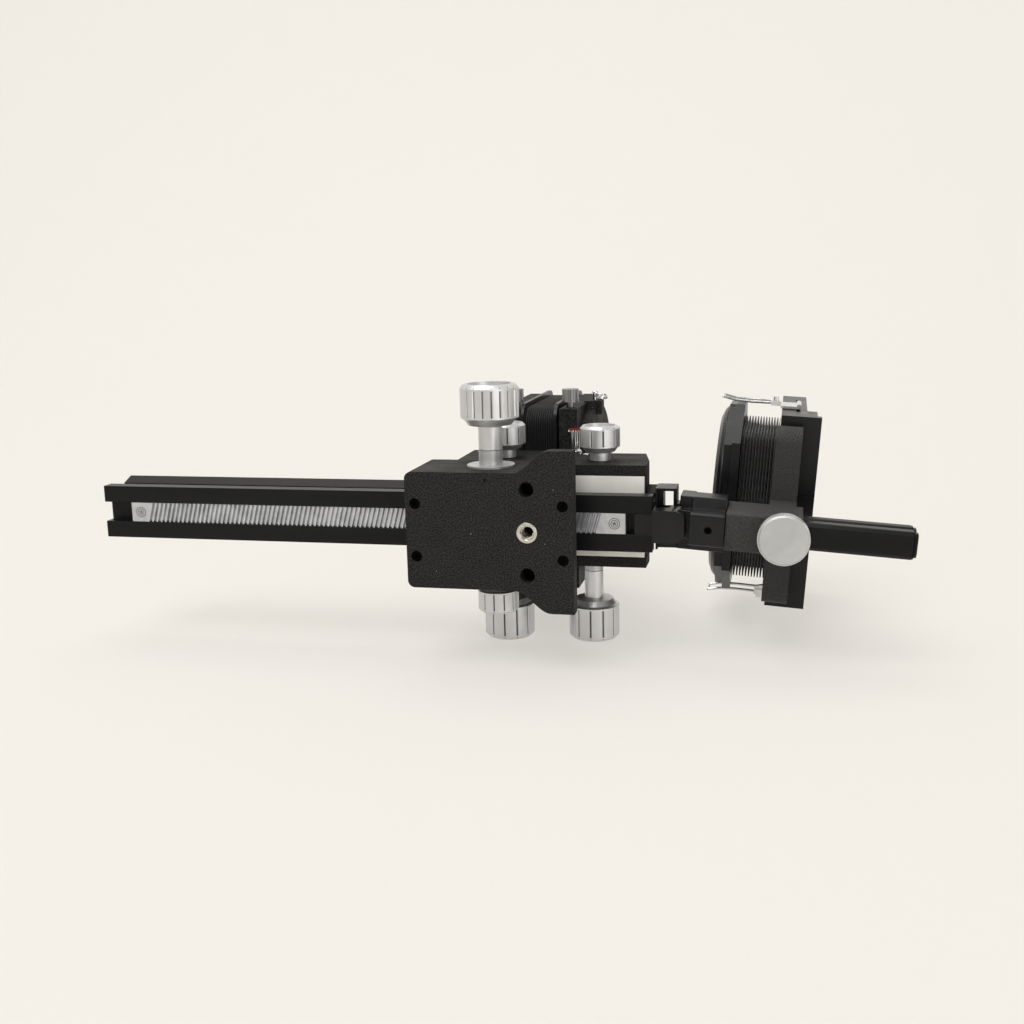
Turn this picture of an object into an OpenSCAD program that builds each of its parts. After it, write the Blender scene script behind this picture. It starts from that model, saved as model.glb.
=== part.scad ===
// Macro bellows on a focusing rail, with a slide and film copier on the rail's end.
// Millimetres. The origin is the mouth of the tripod bushing in the carriage's flat base.
// +X runs along the rail to the copier, +Y to the drive knobs of the two standards, +Z up in use.

/* [Rail] */
// Length of the rail
rail_len = 271.5; // [200:0.5:360]
// X of the rail's copier end
rail_end_x = 52.1; // [45:0.1:60]
// Height of the rail's underside above the base
rail_z = 24; // [22:0.1:30]
// Width of the lower flange
flange_w = 25.7; // [22:0.1:30]
// Thickness of the lower flange
flange_t = 7; // [6:0.1:9]
// Width of the web between flange and dovetail
web_w = 18; // [15:0.1:20]
// Height of the dovetail's lower edge above the rail's underside
dove_rise = 18.9; // [16:0.1:22]
// Width of the dovetail at its lower edge
dove_low_w = 22.2; // [20:0.1:24]
// Width of the dovetail at the rail's top
dove_top_w = 27.7; // [25:0.1:32]
// Height of the dovetail
dove_h = 6.9; // [5:0.1:9]
// Width of the two rack grooves
groove_w = 9.6; // [8:0.1:11]
// Depth of the two rack grooves
groove_d = 6; // [4:0.1:7]

/* [Racks and pinions] */
// Pitch of the rack's teeth along the rail
tooth_pitch = 2.3; // [1.8:0.05:3.2]
// Lean of the teeth across the rail, in degrees
tooth_lean = 15.2; // [0:0.1:25]
// Pressure angle of the teeth, in degrees
tooth_pressure = 20; // [14:0.5:25]
// Teeth on each pinion
pinion_teeth = 14; // [12:1:24]
// Play between a tooth and its gap
tooth_play = 0.16; // [0.05:0.01:0.3]
// Face width of a pinion
pinion_w = 8.4; // [6:0.1:9]
// X of the lower rack's far end
rack_x0 = -205; // [-215:0.5:-150]
// X of the lower rack's near end
rack_x1 = 40; // [20:0.5:45]
// Length of the plain seat at each end of a rack
rack_seat = 9.9; // [8:0.1:14]
// Play of a rack in its groove, on each side
rack_play = 0.1; // [0.02:0.01:0.2]
// Depth of the teeth tips below the rail's face
rack_sink = 0.3; // [0.1:0.1:1]
// Diameter of a rack screw's head
rack_screw_d = 5.6; // [4:0.1:6]

/* [Carriage] */
// X of the block's rear face
block_x0 = -55.2; // [-70:0.1:-40]
// X of the block's front edge at the base
block_x1 = 20.8; // [15:0.1:30]
// X of the block's front edge at its top
block_top_x1 = 14.6; // [10:0.1:30]
// Width of the block
block_w = 52.7; // [45:0.1:60]
// Height of the block
block_h = 36; // [32:0.1:40]
// Width across the flared foot
flare_w = 72.4; // [60:0.1:80]
// Thickness of the flared foot
flare_t = 7; // [3:0.1:12]
// X where the flare starts
flare_x0 = -6; // [-15:0.1:5]
// X where the flare has its full width
flare_x1 = 10.5; // [5:0.1:15]
// Radius on the block's upright corners
block_r = 3.2; // [1:0.1:6]
// Diameter of the two plain base holes
base_hole_d = 6.7; // [5:0.1:8]
// Spacing of the two plain base holes
base_hole_pitch = 38.4; // [30:0.1:42]
// Depth of the two plain base holes
base_hole_h = 12; // [6:0.1:16]
// X of the rear pair of corner screws
corner_x0 = -50.7; // [-52:0.1:-40]
// X of the front pair of corner screws
corner_x1 = 16; // [10:0.1:17]
// Spacing of the corner screws across the block
corner_pitch = 24; // [20:0.1:30]
// Diameter of the corner screws' counterbores
corner_bore_d = 5.1; // [4:0.1:6]
// Outer diameter of the tripod bushing
bushing_d = 9.5; // [8:0.1:12]
// Length of the tripod bushing
bushing_len = 12; // [8:0.5:14]
// Wall diameter of the tripod thread
tripod_bore_d = 6; // [5:0.05:6.4]
// X of the carriage's drive and lock axes
carriage_axis_x = -20.2; // [-30:0.1:-10]

/* [Knobs] */
// Diameter of the carriage drive knob's grip
big_grip_d = 26.4; // [22:0.1:32]
// Y of the carriage drive knob's outer end, from the middle
big_end_y = 63.5; // [50:0.1:75]
// Diameter of the standards' drive knobs
drive_grip_d = 24.1; // [20:0.1:28]
// Diameter of the lock knobs
lock_grip_d = 18.9; // [15:0.1:22]
// Diameter of the small knurled knobs
small_grip_d = 8.4; // [6:0.1:12]
// Diameter of the copier's thumb screw
thumb_d = 21.9; // [18:0.1:26]
// Diameter of the drive shafts in their bearings
shaft_d = 6; // [4:0.1:8]
// Diameter of the necks of the drive knobs
neck_d = 10.8; // [8:0.1:12]

/* [Standards] */
// Width of the front saddle
front_saddle_w = 48; // [44:0.1:56]
// Width of the rear saddle
rear_saddle_w = 50; // [44:0.1:56]
// X of the front saddle's rear end
front_saddle_x0 = -1; // [-3:0.1:2]
// X of the front saddle's front end at its underside
front_saddle_x1 = 47.4; // [40:0.1:50]
// X of the front saddle's front end at its top
front_saddle_x2 = 42.7; // [35:0.1:50]
// X of the rear saddle's rear end
rear_saddle_x0 = -43; // [-55:0.1:-38]
// X of the rear saddle's front end
rear_saddle_x1 = -2.2; // [-6:0.1:-1.5]
// Height of the saddles' underside
saddle_z0 = 40; // [38:0.1:44]
// Height of the saddles' top
saddle_z1 = 78.4; // [72:0.1:84]
// Width across the two gib plates
gib_w = 38; // [32:0.1:42]
// X of the front drive axis
front_drive_x = 20.7; // [10:0.1:30]
// X of the front lock axis
front_lock_x = 24.2; // [10:0.1:36]
// X of the rear drive and lock axes
rear_axis_x = -21.3; // [-35:0.1:-12]
// Height of the optical axis
axis_z = 118; // [105:0.5:130]
// Width of the uprights
frame_w = 90.6; // [80:0.1:100]
// Height of the uprights' top above the optical axis
frame_rise = 42; // [36:0.5:50]
// X of the front upright's bellows side
front_frame_x0 = 0; // [-1:0.1:2]
// X of the front upright's lens side
front_frame_x1 = 9; // [6:0.1:14]
// Diameter of the round lens head
head_d = 87; // [70:0.5:96]
// X of the lens head's front face
head_x1 = 14; // [11:0.1:26]
// Bore of the lens mount ring
lens_bore_d = 47; // [38:0.5:56]
// X of the rear upright's camera side
rear_frame_x0 = -30; // [-38:0.1:-26]
// Bore of the camera mount ring
camera_bore_d = 48; // [38:0.5:56]

/* [Bellows] */
// X of the main bellows' front end
bellows_x1 = -3.3; // [-5:0.1:-2]
// X of the main bellows' rear end
bellows_x0 = -17.7; // [-24:0.1:-12]
// Pleats of the main bellows
main_pleats = 9; // [6:1:16]
// Pleats of the copier's bellows
copier_pleats = 12; // [6:1:16]
// Width of the main bellows over its pleats
bellows_w = 90; // [70:0.1:96]
// Depth of a main pleat
pleat_d = 9.5; // [5:0.1:12]
// Width of the copier's bellows over its pleats
copier_bellows_w = 71.4; // [60:0.1:80]
// Depth of a pleat of the copier's bellows
copier_pleat_d = 4; // [3:0.1:9]

/* [Copier] */
// X of the copier arm's swivel pin
swivel_x = 61; // [58:0.1:66]
// Angle of the copier arm to the rail in the rest pose, in degrees
swivel_rest = 4; // [0:0.5:8]
// Height of the arm's underside
arm_z = 19; // [16:0.1:22]
// X of the copier rod's free end
rod_x1 = 165.5; // [130:0.5:220]
// Width of the copier rod
rod_w = 12.3; // [10:0.1:16]
// Height of the copier rod's underside
rod_z0 = 25; // [22:0.1:28]
// Height of the copier rod's top
rod_z1 = 43; // [36:0.1:46]
// X of the film stage's bellows side
stage_x0 = 103.9; // [98:0.1:110]
// X of the film stage's light side
stage_x1 = 122.4; // [114:0.1:130]
// Width of the film stage
stage_w = 92.6; // [80:0.1:100]
// Height of the film stage's bottom
stage_z0 = 74; // [68:0.1:80]
// Height of the film stage's top
stage_z1 = 162; // [150:0.5:170]
// Width of the picture opening
gate_w = 36; // [24:0.5:56]
// Height of the picture opening
gate_h = 24; // [18:0.5:42]

/* [Hidden] */
$fn = 48;
// clearances and small sizes
over = 1;
slide_play = 0.1;
run_play = 0.06;
part_gap = 0.3;
wall = 2;
edge = 0.8;
lip = 1.2;
gap = 1.8;
// derived places
rail_x0 = rail_end_x - rail_len;
rail_h = dove_rise + dove_h;
rail_top = rail_z + rail_h;
module_t = tooth_pitch / PI;
stub_share = 0.8;
root_share = 1;
pitch_r = pinion_teeth * module_t / 2;
tooth_h = module_t * (stub_share + root_share);
carriage_axis_z = rail_z + rack_sink + module_t * stub_share - pitch_r;
stand_axis_z = rail_top - rack_sink - module_t * stub_share + pitch_r;
lock_axis_z = rail_z + flange_t / 2;
pinion_room_r = pitch_r + module_t * stub_share + edge;
black = [0.09, 0.09, 0.1];
crinkle = [0.14, 0.14, 0.14];
satin = [0.75, 0.75, 0.76];
chrome = [0.85, 0.85, 0.86];
pale = [0.8, 0.79, 0.75];
red = [0.7, 0.1, 0.08];
brass = [0.7, 0.58, 0.3];
opal = [0.92, 0.92, 0.9];

// a profile drawn across the rail, run along X from a to b
module run_x(a, b) translate([a, 0, 0]) rotate([90, 0, 90]) linear_extrude(b - a) children();
// a cylinder along +X, +Y and +Z
module rod_x(x, y, z, r, h) translate([x, y, z]) rotate([0, 90, 0]) cylinder(r = r, h = h);
module rod_y(x, y, z, r, h) translate([x, y, z]) rotate([-90, 0, 0]) cylinder(r = r, h = h);
module rod_z(x, y, z, r, h) translate([x, y, z]) cylinder(r = r, h = h);
// a box given by its lower and upper corners
module span(a, b) translate(a) cube(b - a);

// the rail's section, with the dovetail above and a rack groove on both faces
module rail_section() {
    f = flange_w / 2;
    w = web_w / 2;
    l = dove_low_w / 2;
    t = dove_top_w / 2;
    g = groove_w / 2;
    zf = rail_z + flange_t;
    zd = rail_z + dove_rise;
    polygon([[-f, rail_z], [-g, rail_z], [-g, rail_z + groove_d], [g, rail_z + groove_d],
        [g, rail_z], [f, rail_z], [f, zf], [w, zf], [w, zd], [l, zd], [t, rail_top],
        [g, rail_top], [g, rail_top - groove_d], [-g, rail_top - groove_d], [-g, rail_top],
        [-t, rail_top], [-l, zd], [-w, zd], [-w, zf], [-f, zf]]);
}

// one rack: plain seats at both ends and leaning teeth between, tips at height 0, back at -groove_d
module rack_bar() {
    c = cos(tooth_lean);
    half_tip = tooth_pitch / 4 - module_t * stub_share * tan(tooth_pressure);
    half_gap = tooth_pitch / 4 - module_t * root_share * tan(tooth_pressure);
    x0 = rack_x0 + rack_seat;
    x1 = rack_x1 - rack_seat;
    n = floor((x1 - x0) / tooth_pitch);
    back = groove_d - rack_sink;
    far = rack_seat * 2;
    pts = concat([[(x0 - far) * c, -back], [(x0 - far) * c, 0]],
        [for (i = [0:n - 1]) each [
            [(x0 + i * tooth_pitch + half_tip) * c, 0],
            [(x0 + (i + 1 / 2) * tooth_pitch - half_gap) * c, -tooth_h],
            [(x0 + (i + 1 / 2) * tooth_pitch + half_gap) * c, -tooth_h],
            [(x0 + (i + 1) * tooth_pitch - half_tip) * c, 0]]],
        [[(x1 + far) * c, 0], [(x1 + far) * c, -back]]);
    w = groove_w / 2 - rack_play;
    difference() {
        intersection() {
            rotate([0, 0, tooth_lean])
                translate([0, rack_x1 - rack_x0, 0])
                    rotate([90, 0, 0]) linear_extrude((rack_x1 - rack_x0) * 2) polygon(pts);
            span([rack_x0, -w, -back - over], [rack_x1, w, over]);
        }
        for (x = [rack_x0 + rack_seat / 2, rack_x1 - rack_seat / 2])
            rod_z(x, 0, -back - over, rack_screw_d / 2, back + over * 2);
    }
}

// a helical pinion about Y whose tooth meets the rack above (up = 1) or below it (up = -1)
module pinion(x, z, up) {
    c = tooth_pressure;
    base_r = pitch_r * cos(c);
    tip_r = pitch_r + module_t * stub_share;
    root_r = pitch_r - module_t * root_share;
    inv = tan(c) * 180 / PI - c;
    half = 90 / pinion_teeth - tooth_play / 2 / pitch_r * 180 / PI + inv;
    steps = [for (k = [0:3]) base_r + (tip_r - base_r) * k / 3];
    side = [for (r = steps) let(a = acos(min(1, base_r / r))) [r, half - (tan(a) * 180 / PI - a)]];
    place = (x - rack_x0 - rack_seat) / tooth_pitch - 1 / 2;
    frac = place - floor(place);
    turn = -frac * 360 / pinion_teeth;
    slant = pinion_w * tan(tooth_lean) / pitch_r * 180 / PI;
    mid = up > 0 ? -90 : 90;
    pts = [for (i = [0:pinion_teeth - 1]) let(b = mid + i * 360 / pinion_teeth) each concat(
        [[root_r * cos(b - half), root_r * sin(b - half)]],
        [for (s = side) [s[0] * cos(b - s[1]), s[0] * sin(b - s[1])]],
        [for (k = [3:-1:0]) [side[k][0] * cos(b + side[k][1]), side[k][0] * sin(b + side[k][1])]],
        [[root_r * cos(b + half), root_r * sin(b + half)]])];
    translate([x, -pinion_w / 2, z]) rotate([0, up * turn, 0]) rotate([-90, 0, 0])
        difference() {
            rotate([0, 0, up * slant / 2]) linear_extrude(pinion_w, twist = up * slant, slices = 4)
                polygon(pts);
            translate([0, 0, -over]) cylinder(r = (shaft_d / 2 + run_play / 6) / cos(15), h = pinion_w + over * 2, $fn = 12);
        }
}

// a turned knob along +Y: neck, cone, fluted grip, bevelled rim with a recessed end
module turned_knob(neck_r, neck_len, grip_r, grip_len, flutes, stem_r, stem_len) {
    cone = grip_r / 4;
    rim = grip_r / 8;
    far = neck_len + cone + grip_len;
    rotate([-90, 0, 0]) difference() {
        rotate_extrude() polygon([[0, -stem_len], [stem_r, -stem_len], [stem_r, 0], [neck_r, 0],
            [neck_r, neck_len], [grip_r - rim * 2, neck_len + rim / 2], [grip_r - rim, neck_len + cone],
            [grip_r, neck_len + cone + rim / 2], [grip_r, far], [grip_r - rim, far + rim],
            [grip_r - rim * 2, far + rim], [grip_r - rim * 2, far], [0, far]]);
        for (i = [0:flutes - 1]) rotate([0, 0, i * 360 / flutes])
            translate([grip_r + rim / 4, 0, neck_len + cone + rim])
                cylinder(r = rim * 2 / 3, h = grip_len - rim * 1.5, $fn = 4);
    }
}

// a small knurled screw along +Y
module small_knob(r, len, neck, stem) {
    rotate([-90, 0, 0]) difference() {
        union() {
            translate([0, 0, neck]) cylinder(r = r, h = len);
            translate([0, 0, -stem]) cylinder(r = r / 2, h = stem + neck + edge);
        }
        for (i = [0:17]) rotate([0, 0, i * 20]) translate([r + edge / 4, 0, neck + edge])
            cylinder(r = edge / 2, h = len, $fn = 4);
    }
}

// a fixed flange and tube that carries a drive shaft, along +Y from the wall
module bush(flange_r, tube_r, tube_len) {
    rotate([-90, 0, 0]) difference() {
        rotate_extrude() polygon([[0, 0], [flange_r, 0], [flange_r, edge], [tube_r, edge],
            [tube_r, tube_len], [0, tube_len]]);
        translate([0, 0, -over]) cylinder(r = shaft_d / 2 + run_play, h = tube_len + over * 2);
    }
}

module carriage_block() color(crinkle) {
    h = block_w / 2;
    f = flare_w / 2;
    fw = flange_w / 2 + slide_play;
    ww = web_w / 2 + part_gap;
    difference() {
        union() {
            // the body, with a front end that leans back above the foot
            rotate([90, 0, 0]) translate([0, 0, -h]) linear_extrude(block_w)
                polygon([[block_x0 + block_r, 0], [block_x1, 0], [block_x1, wall * 2],
                    [block_top_x1, block_h], [block_x0 + block_r, block_h]]);
            span([block_x0, -h + block_r, 0], [block_x0 + block_r + edge, h - block_r, block_h]);
            for (y = [-h + block_r, h - block_r]) rod_z(block_x0 + block_r, y, 0, block_r, block_h);
            // the flared foot, with an S-curve on each side
            linear_extrude(flare_t) polygon(concat(
                [for (i = [0:12]) [flare_x0 + (flare_x1 - flare_x0) * i / 12, -h - (f - h) * (1 - cos(15 * i)) / 2]],
                [[block_x1, -f], [block_x1, f]],
                [for (i = [12:-1:0]) [flare_x0 + (flare_x1 - flare_x0) * i / 12, h + (f - h) * (1 - cos(15 * i)) / 2]]));
        }
        // the slot for the rail's flange, open above for its web
        span([block_x0 - over, -fw, rail_z - slide_play], [block_x1 + over, fw,
            rail_z + flange_t + slide_play]);
        span([block_x0 - over, -ww, rail_z], [block_x1 + over, ww, block_h + over]);
        // the pinion's room, the shaft's and the lock's bores
        rod_y(carriage_axis_x, -pinion_w / 2 - edge, carriage_axis_z, pinion_room_r,
            pinion_w + edge * 2);
        span([carriage_axis_x - pinion_room_r, -pinion_w / 2 - edge, carriage_axis_z],
            [carriage_axis_x + pinion_room_r, pinion_w / 2 + edge, rail_z]);
        rod_y(carriage_axis_x, -h - over, carriage_axis_z, shaft_d / 2 + run_play, h + over + h * 2 / 3);
        rod_y(carriage_axis_x, 0, lock_axis_z, shaft_d / 2 + run_play, h + over);
        // the tripod bushing's seat, the base holes and the corner screws' counterbores
        rod_z(0, 0, -over, bushing_d / 2, bushing_len + over);
        for (y = [-base_hole_pitch / 2, base_hole_pitch / 2])
            rod_z(0, y, -over, base_hole_d / 2, base_hole_h + over);
        for (x = [corner_x0, corner_x1], y = [-corner_pitch / 2, corner_pitch / 2])
            rod_z(x, y, -over, corner_bore_d / 2, wall * 2 + over);
        // the small dimple near the drive side
        rod_z(carriage_axis_x + wall, -h + wall * 1.7, -over, edge, over + edge);
    }
}

module tripod_bushing() color(chrome) difference() {
    cylinder(r = bushing_d / 2, h = bushing_len);
    translate([0, 0, -over]) cylinder(r = tripod_bore_d / 2, h = bushing_len + over * 2);
}

module block_screws() color(black)
    for (x = [corner_x0, corner_x1], y = [-corner_pitch / 2, corner_pitch / 2]) difference() {
        rod_z(x, y, edge, corner_bore_d / 2, wall * 2 - edge);
        rod_z(x, y, edge - over, corner_bore_d / 4, over + edge * 1.5, $fn = 6);
    }

bush_len = 7.4;
module carriage_bush() color(satin) translate([carriage_axis_x, -block_w / 2, carriage_axis_z])
    mirror([0, 1, 0]) bush(neck_d, neck_d / 2, bush_len);

module carriage_knob() color(satin)
    translate([carriage_axis_x, -block_w / 2 - bush_len - part_gap, carriage_axis_z]) mirror([0, 1, 0]) {
        reach = big_end_y - block_w / 2 - bush_len - part_gap;
        turned_knob(neck_d / 2, reach * 0.35, big_grip_d / 2, reach * 0.65 - big_grip_d * 3 / 16, 20,
            shaft_d / 2, block_w / 2 + bush_len + part_gap + pinion_w);
    }

module carriage_pinion() color(satin) pinion(carriage_axis_x, carriage_axis_z, 1);

lock_neck = 3.6;
lock_grip_len = 9.4;
pad_len = 3;
module carriage_lock_knob() color(satin)
    translate([carriage_axis_x, block_w / 2 + part_gap, lock_axis_z])
        turned_knob(neck_d / 2, lock_neck, lock_grip_d / 2, lock_grip_len, 12, shaft_d / 2,
            (block_w - flange_w) / 2 - pad_len);

module carriage_lock_pad() color(brass)
    rod_y(carriage_axis_x, flange_w / 2 + slide_play, lock_axis_z, shaft_d / 2, pad_len - slide_play);

module rail() color(black) difference() {
    run_x(rail_x0, rail_end_x) rail_section();
    for (x = [rack_x0 + rack_seat / 2, rack_x1 - rack_seat / 2])
        rod_z(x, 0, rail_z, rack_screw_d / 4, rail_h);
}

module focus_rack() color(satin) translate([0, 0, rail_z + rack_sink]) mirror([0, 0, 1]) rack_bar();
module standard_rack() color(satin) translate([0, 0, rail_top - rack_sink]) rack_bar();

module rack_screws() color(satin)
    for (x = [rack_x0 + rack_seat / 2, rack_x1 - rack_seat / 2]) {
        rod_z(x, 0, rail_z + rack_sink, rack_screw_d / 2, groove_d - rack_sink);
        rod_z(x, 0, rail_z + rack_sink, rack_screw_d / 4, rail_h - rack_sink * 2);
        rod_z(x, 0, rail_top - groove_d, rack_screw_d / 2, groove_d - rack_sink);
    }

// the copier's connecting piece: tongue, bar, side plate with its window, and a fork for the arm
adapter_x0 = rail_end_x + edge / 2;
adapter_bar = 14.6;
fork_x1 = swivel_x + 5.6;
tongue_z0 = 27.4;
tongue_z1 = 37;
plate_z0 = 33;
plate_z1 = 46;
plate_out = 14.9;
plate_x1 = swivel_x + edge;
pin_r = 2.5;
module adapter() color(black) difference() {
    union() {
        b = adapter_bar / 2;
        // the tongue in the rail's lower groove
        span([rail_end_x - wall * 4, -groove_w / 2 + rack_play, rail_z + rack_play],
            [adapter_x0 + edge, groove_w / 2 - rack_play, rail_z + groove_d - rack_play]);
        // the bar and the fork's rounded end
        span([adapter_x0, -b, arm_z], [swivel_x, b, plate_z1]);
        intersection() {
            rod_z(swivel_x, 0, arm_z, b, plate_z1 - arm_z);
            span([swivel_x, -b, arm_z], [fork_x1, b, plate_z1]);
        }
        // the side plate
        span([adapter_x0, -plate_out, plate_z0], [plate_x1, -b + edge, plate_z1]);
        span([adapter_x0, b - edge, plate_z0], [plate_x1, plate_out - wall * 0.8, plate_z1]);
    }
    // the window through the side plate
    run_x(adapter_x0 + wall * 1.6, plate_x1 - edge * 2)
        polygon([[-plate_out + wall, plate_z0 - over], [-adapter_bar / 2 - edge / 2, plate_z0 - over],
            [-adapter_bar / 2 - edge / 2, plate_z0], [-adapter_bar / 4, plate_z1 + over],
            [-plate_out + wall, plate_z1 + over]]);
    // the fork's slot
    span([swivel_x - adapter_bar / 2 - part_gap, -adapter_bar, tongue_z0 - part_gap],
        [fork_x1 + over, adapter_bar, tongue_z1 + part_gap]);
    rod_z(swivel_x, 0, arm_z + wall, pin_r, plate_z1 - arm_z);
}

module swivel_pin() color(satin) rod_z(swivel_x, 0, arm_z + wall, pin_r, plate_z1 - arm_z - wall);

// a saddle's section, with the dovetail void and the seats of the two gib plates
module saddle_section(w) {
    g = gib_w / 2;
    l = dove_low_w / 2 + slide_play;
    t = dove_top_w / 2 + slide_play;
    zd = rail_z + dove_rise;
    zt = rail_top + slide_play;
    h = w / 2;
    polygon([[-h, saddle_z0], [-g, saddle_z0], [-g, zd - slide_play], [-l, zd - slide_play],
        [-t, zt], [t, zt], [l, zd - slide_play], [g, zd - slide_play], [g, saddle_z0],
        [h, saddle_z0], [h, saddle_z1 - wall], [h - wall, saddle_z1], [-h + wall, saddle_z1],
        [-h, saddle_z1 - wall]]);
}

// what is cut from a saddle for its pinion, drive shaft, lock screw and dimple
module saddle_bores(x, lock_x, w) {
    p = pinion_w / 2 + edge;
    rod_y(x, -p, stand_axis_z, pinion_room_r, p * 2);
    span([x - pinion_room_r, -p, rail_top - edge], [x + pinion_room_r, p, stand_axis_z]);
    rod_y(x, -w / 4, stand_axis_z, shaft_d / 2 + run_play, w);
    rod_y(lock_x, -w / 2 - over, stand_axis_z, shaft_d / 2 + run_play, w / 4 + over);
}

bush_r = 4.5;
module gib(x0, x1, side) color(pale) {
    i = web_w / 2 + slide_play * 2;
    o = gib_w / 2;
    a = side > 0 ? i : -o;
    b = side > 0 ? o : -i;
    span([x0, a, saddle_z0], [x1, b, rail_z + dove_rise - slide_play]);
}

module rear_saddle() color(crinkle) difference() {
    run_x(rear_saddle_x0, rear_saddle_x1) saddle_section(rear_saddle_w);
    saddle_bores(rear_axis_x, rear_axis_x, rear_saddle_w);
}

// an upright frame that stands on its saddle, with two rounded upper corners
module upright(x0, x1) {
    r = wall * 4;
    h = frame_w / 2;
    top = axis_z + frame_rise;
    run_x(x0, x1) union() {
        translate([-h, saddle_z1]) square([h * 2, top - r - saddle_z1]);
        translate([-h + r, saddle_z1]) square([(h - r) * 2, top - saddle_z1]);
        for (y = [-h + r, h - r]) translate([y, top - r]) circle(r = r);
    }
}

module rear_upright() color(crinkle) difference() {
    upright(rear_frame_x0, bellows_x0 - wall);
    rod_x(rear_frame_x0 - over, 0, axis_z, camera_bore_d / 2 + wall * 2, frame_w);
    rod_y(ring_screw_x, -frame_w / 2 - over, ring_screw_z, small_grip_d / 4 + run_play, frame_w / 8);
}

ring_screw_z = 88;
ring_screw_x = -24;
module rear_gib_upper() gib(rear_saddle_x0, rear_saddle_x1, -1);
module rear_gib_lower() gib(rear_saddle_x0, rear_saddle_x1, 1);

module stand_bush(x, w) color(satin) translate([x, w / 2, stand_axis_z]) bush(bush_r + edge, bush_r, wall * 2.4);
module rear_bush() stand_bush(rear_axis_x, rear_saddle_w);
module front_bush() stand_bush(front_drive_x, front_saddle_w);

drive_neck = 13;
drive_grip_len = 15.4;
module stand_knob(x, w) color(satin) translate([x, w / 2 + wall * 2.4 + part_gap, stand_axis_z])
    turned_knob(bush_r, drive_neck, drive_grip_d / 2, drive_grip_len, 12, shaft_d / 2,
        w / 2 + wall * 2.4 + part_gap + pinion_w);
module rear_knob() stand_knob(rear_axis_x, rear_saddle_w);
module front_knob() stand_knob(front_drive_x, front_saddle_w);
module rear_pinion() color(satin) pinion(rear_axis_x, stand_axis_z, -1);
module front_pinion() color(satin) pinion(front_drive_x, stand_axis_z, -1);

stand_lock_grip = 9.2;
module stand_lock(x, w) color(satin) translate([x, -w / 2 - part_gap, stand_axis_z]) mirror([0, 1, 0])
    turned_knob(neck_d / 2 - edge / 2, lock_neck, lock_grip_d / 2, stand_lock_grip, 10, shaft_d / 2, w / 4 - over);
module rear_lock_knob() stand_lock(rear_axis_x, rear_saddle_w);
module front_lock_knob() stand_lock(front_lock_x, front_saddle_w);

// the ring that carries the camera and turns it between upright and level pictures
ring_out = 4;
module camera_ring() color(black) difference() {
    union() {
        rod_x(rear_frame_x0 - ring_out, 0, axis_z, camera_bore_d / 2 + wall * 5, ring_out - part_gap);
        rod_x(rear_frame_x0 - part_gap - over, 0, axis_z, camera_bore_d / 2 + wall * 2 - run_play,
            over + part_gap + ring_out * 2);
    }
    rod_x(rear_frame_x0 - ring_out - over, 0, axis_z, camera_bore_d / 2, frame_w);
    // three bayonet gaps
    for (a = [0:120:240]) translate([0, 0, axis_z]) rotate([a, 0, 0])
        span([rear_frame_x0 - ring_out - over, -wall * 4, 0],
            [rear_frame_x0 - ring_out + wall / 2, wall * 4, camera_bore_d / 2 + wall]);
}

module camera_ring_screw() color(satin) translate([ring_screw_x, -frame_w / 2 - part_gap, ring_screw_z])
    mirror([0, 1, 0]) small_knob(small_grip_d / 2, small_grip_d * 3 / 4, lip * 2, wall * 4);

module bellows_plate(x, w) color(black) {
    h = (w + pleat_d / 2) / 2;
    difference() {
        rounded_x(x, wall - part_gap, h, h - wall * 4, wall * 4);
        rounded_x(x - over, wall + over * 2, h - pleat_d * 1.6, h - wall * 4 - pleat_d * 1.6, wall * 2);
    }
}

// a rounded rectangle about the optical axis, as thick as t along X
module rounded_x(x, t, hy, hz, r) translate([0, 0, axis_z]) run_x(x, x + t) union() {
    square([hy * 2 - r * 2, hz * 2], center = true);
    square([hy * 2, hz * 2 - r * 2], center = true);
    for (y = [-hy + r, hy - r], z = [-hz + r, hz - r]) translate([y, z]) circle(r = r);
}

module bellows_rear_plate() bellows_plate(bellows_x0 - wall, bellows_w);
module bellows_front_plate() bellows_plate(bellows_x1 + part_gap, bellows_w);

// a pleated tube of thin cloth about the optical axis: rings of points, out and in by turns
module pleats(xa, xb, hy, hz, deep, n, r, cloth) {
    per = 5;
    m = 4 * per;
    function corner(k) = floor(k / per);
    function ring(x, inset) = [for (k = [0:m - 1])
        let(c = corner(k), a = (k % per) * 90 / (per - 1) + c * 90, rr = max(r - inset / 4, edge),
            sy = (c == 0 || c == 3) ? 1 : -1, sz = (c < 2) ? 1 : -1)
        [x, sy * (hy - inset - rr) + rr * cos(a), sz * (hz - inset - rr) + rr * sin(a)]];
    st = 2 * n;
    pts = [each [for (i = [0:st]) each ring(xa + (xb - xa) * i / st, (i % 2) * deep)],
        each [for (i = [0:st]) each ring(xa + (xb - xa) * i / st, (i % 2) * deep + cloth)]];
    off = (st + 1) * m;
    faces = concat(
        [for (i = [0:st - 1], k = [0:m - 1]) let(k2 = (k + 1) % m)
            [i * m + k, i * m + k2, (i + 1) * m + k2, (i + 1) * m + k]],
        [for (i = [0:st - 1], k = [0:m - 1]) let(k2 = (k + 1) % m)
            [off + i * m + k2, off + i * m + k, off + (i + 1) * m + k, off + (i + 1) * m + k2]],
        [for (k = [0:m - 1]) let(k2 = (k + 1) % m) [k2, k, off + k, off + k2]],
        [for (k = [0:m - 1]) let(k2 = (k + 1) % m)
            [st * m + k, st * m + k2, off + st * m + k2, off + st * m + k]]);
    translate([0, 0, axis_z]) polyhedron(pts, faces);
}
cloth_t = 2.6;
module main_bellows() color(black)
    pleats(bellows_x0, bellows_x1, bellows_w / 2, bellows_w / 2 - wall * 3, pleat_d, main_pleats, wall * 4, cloth_t);

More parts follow.
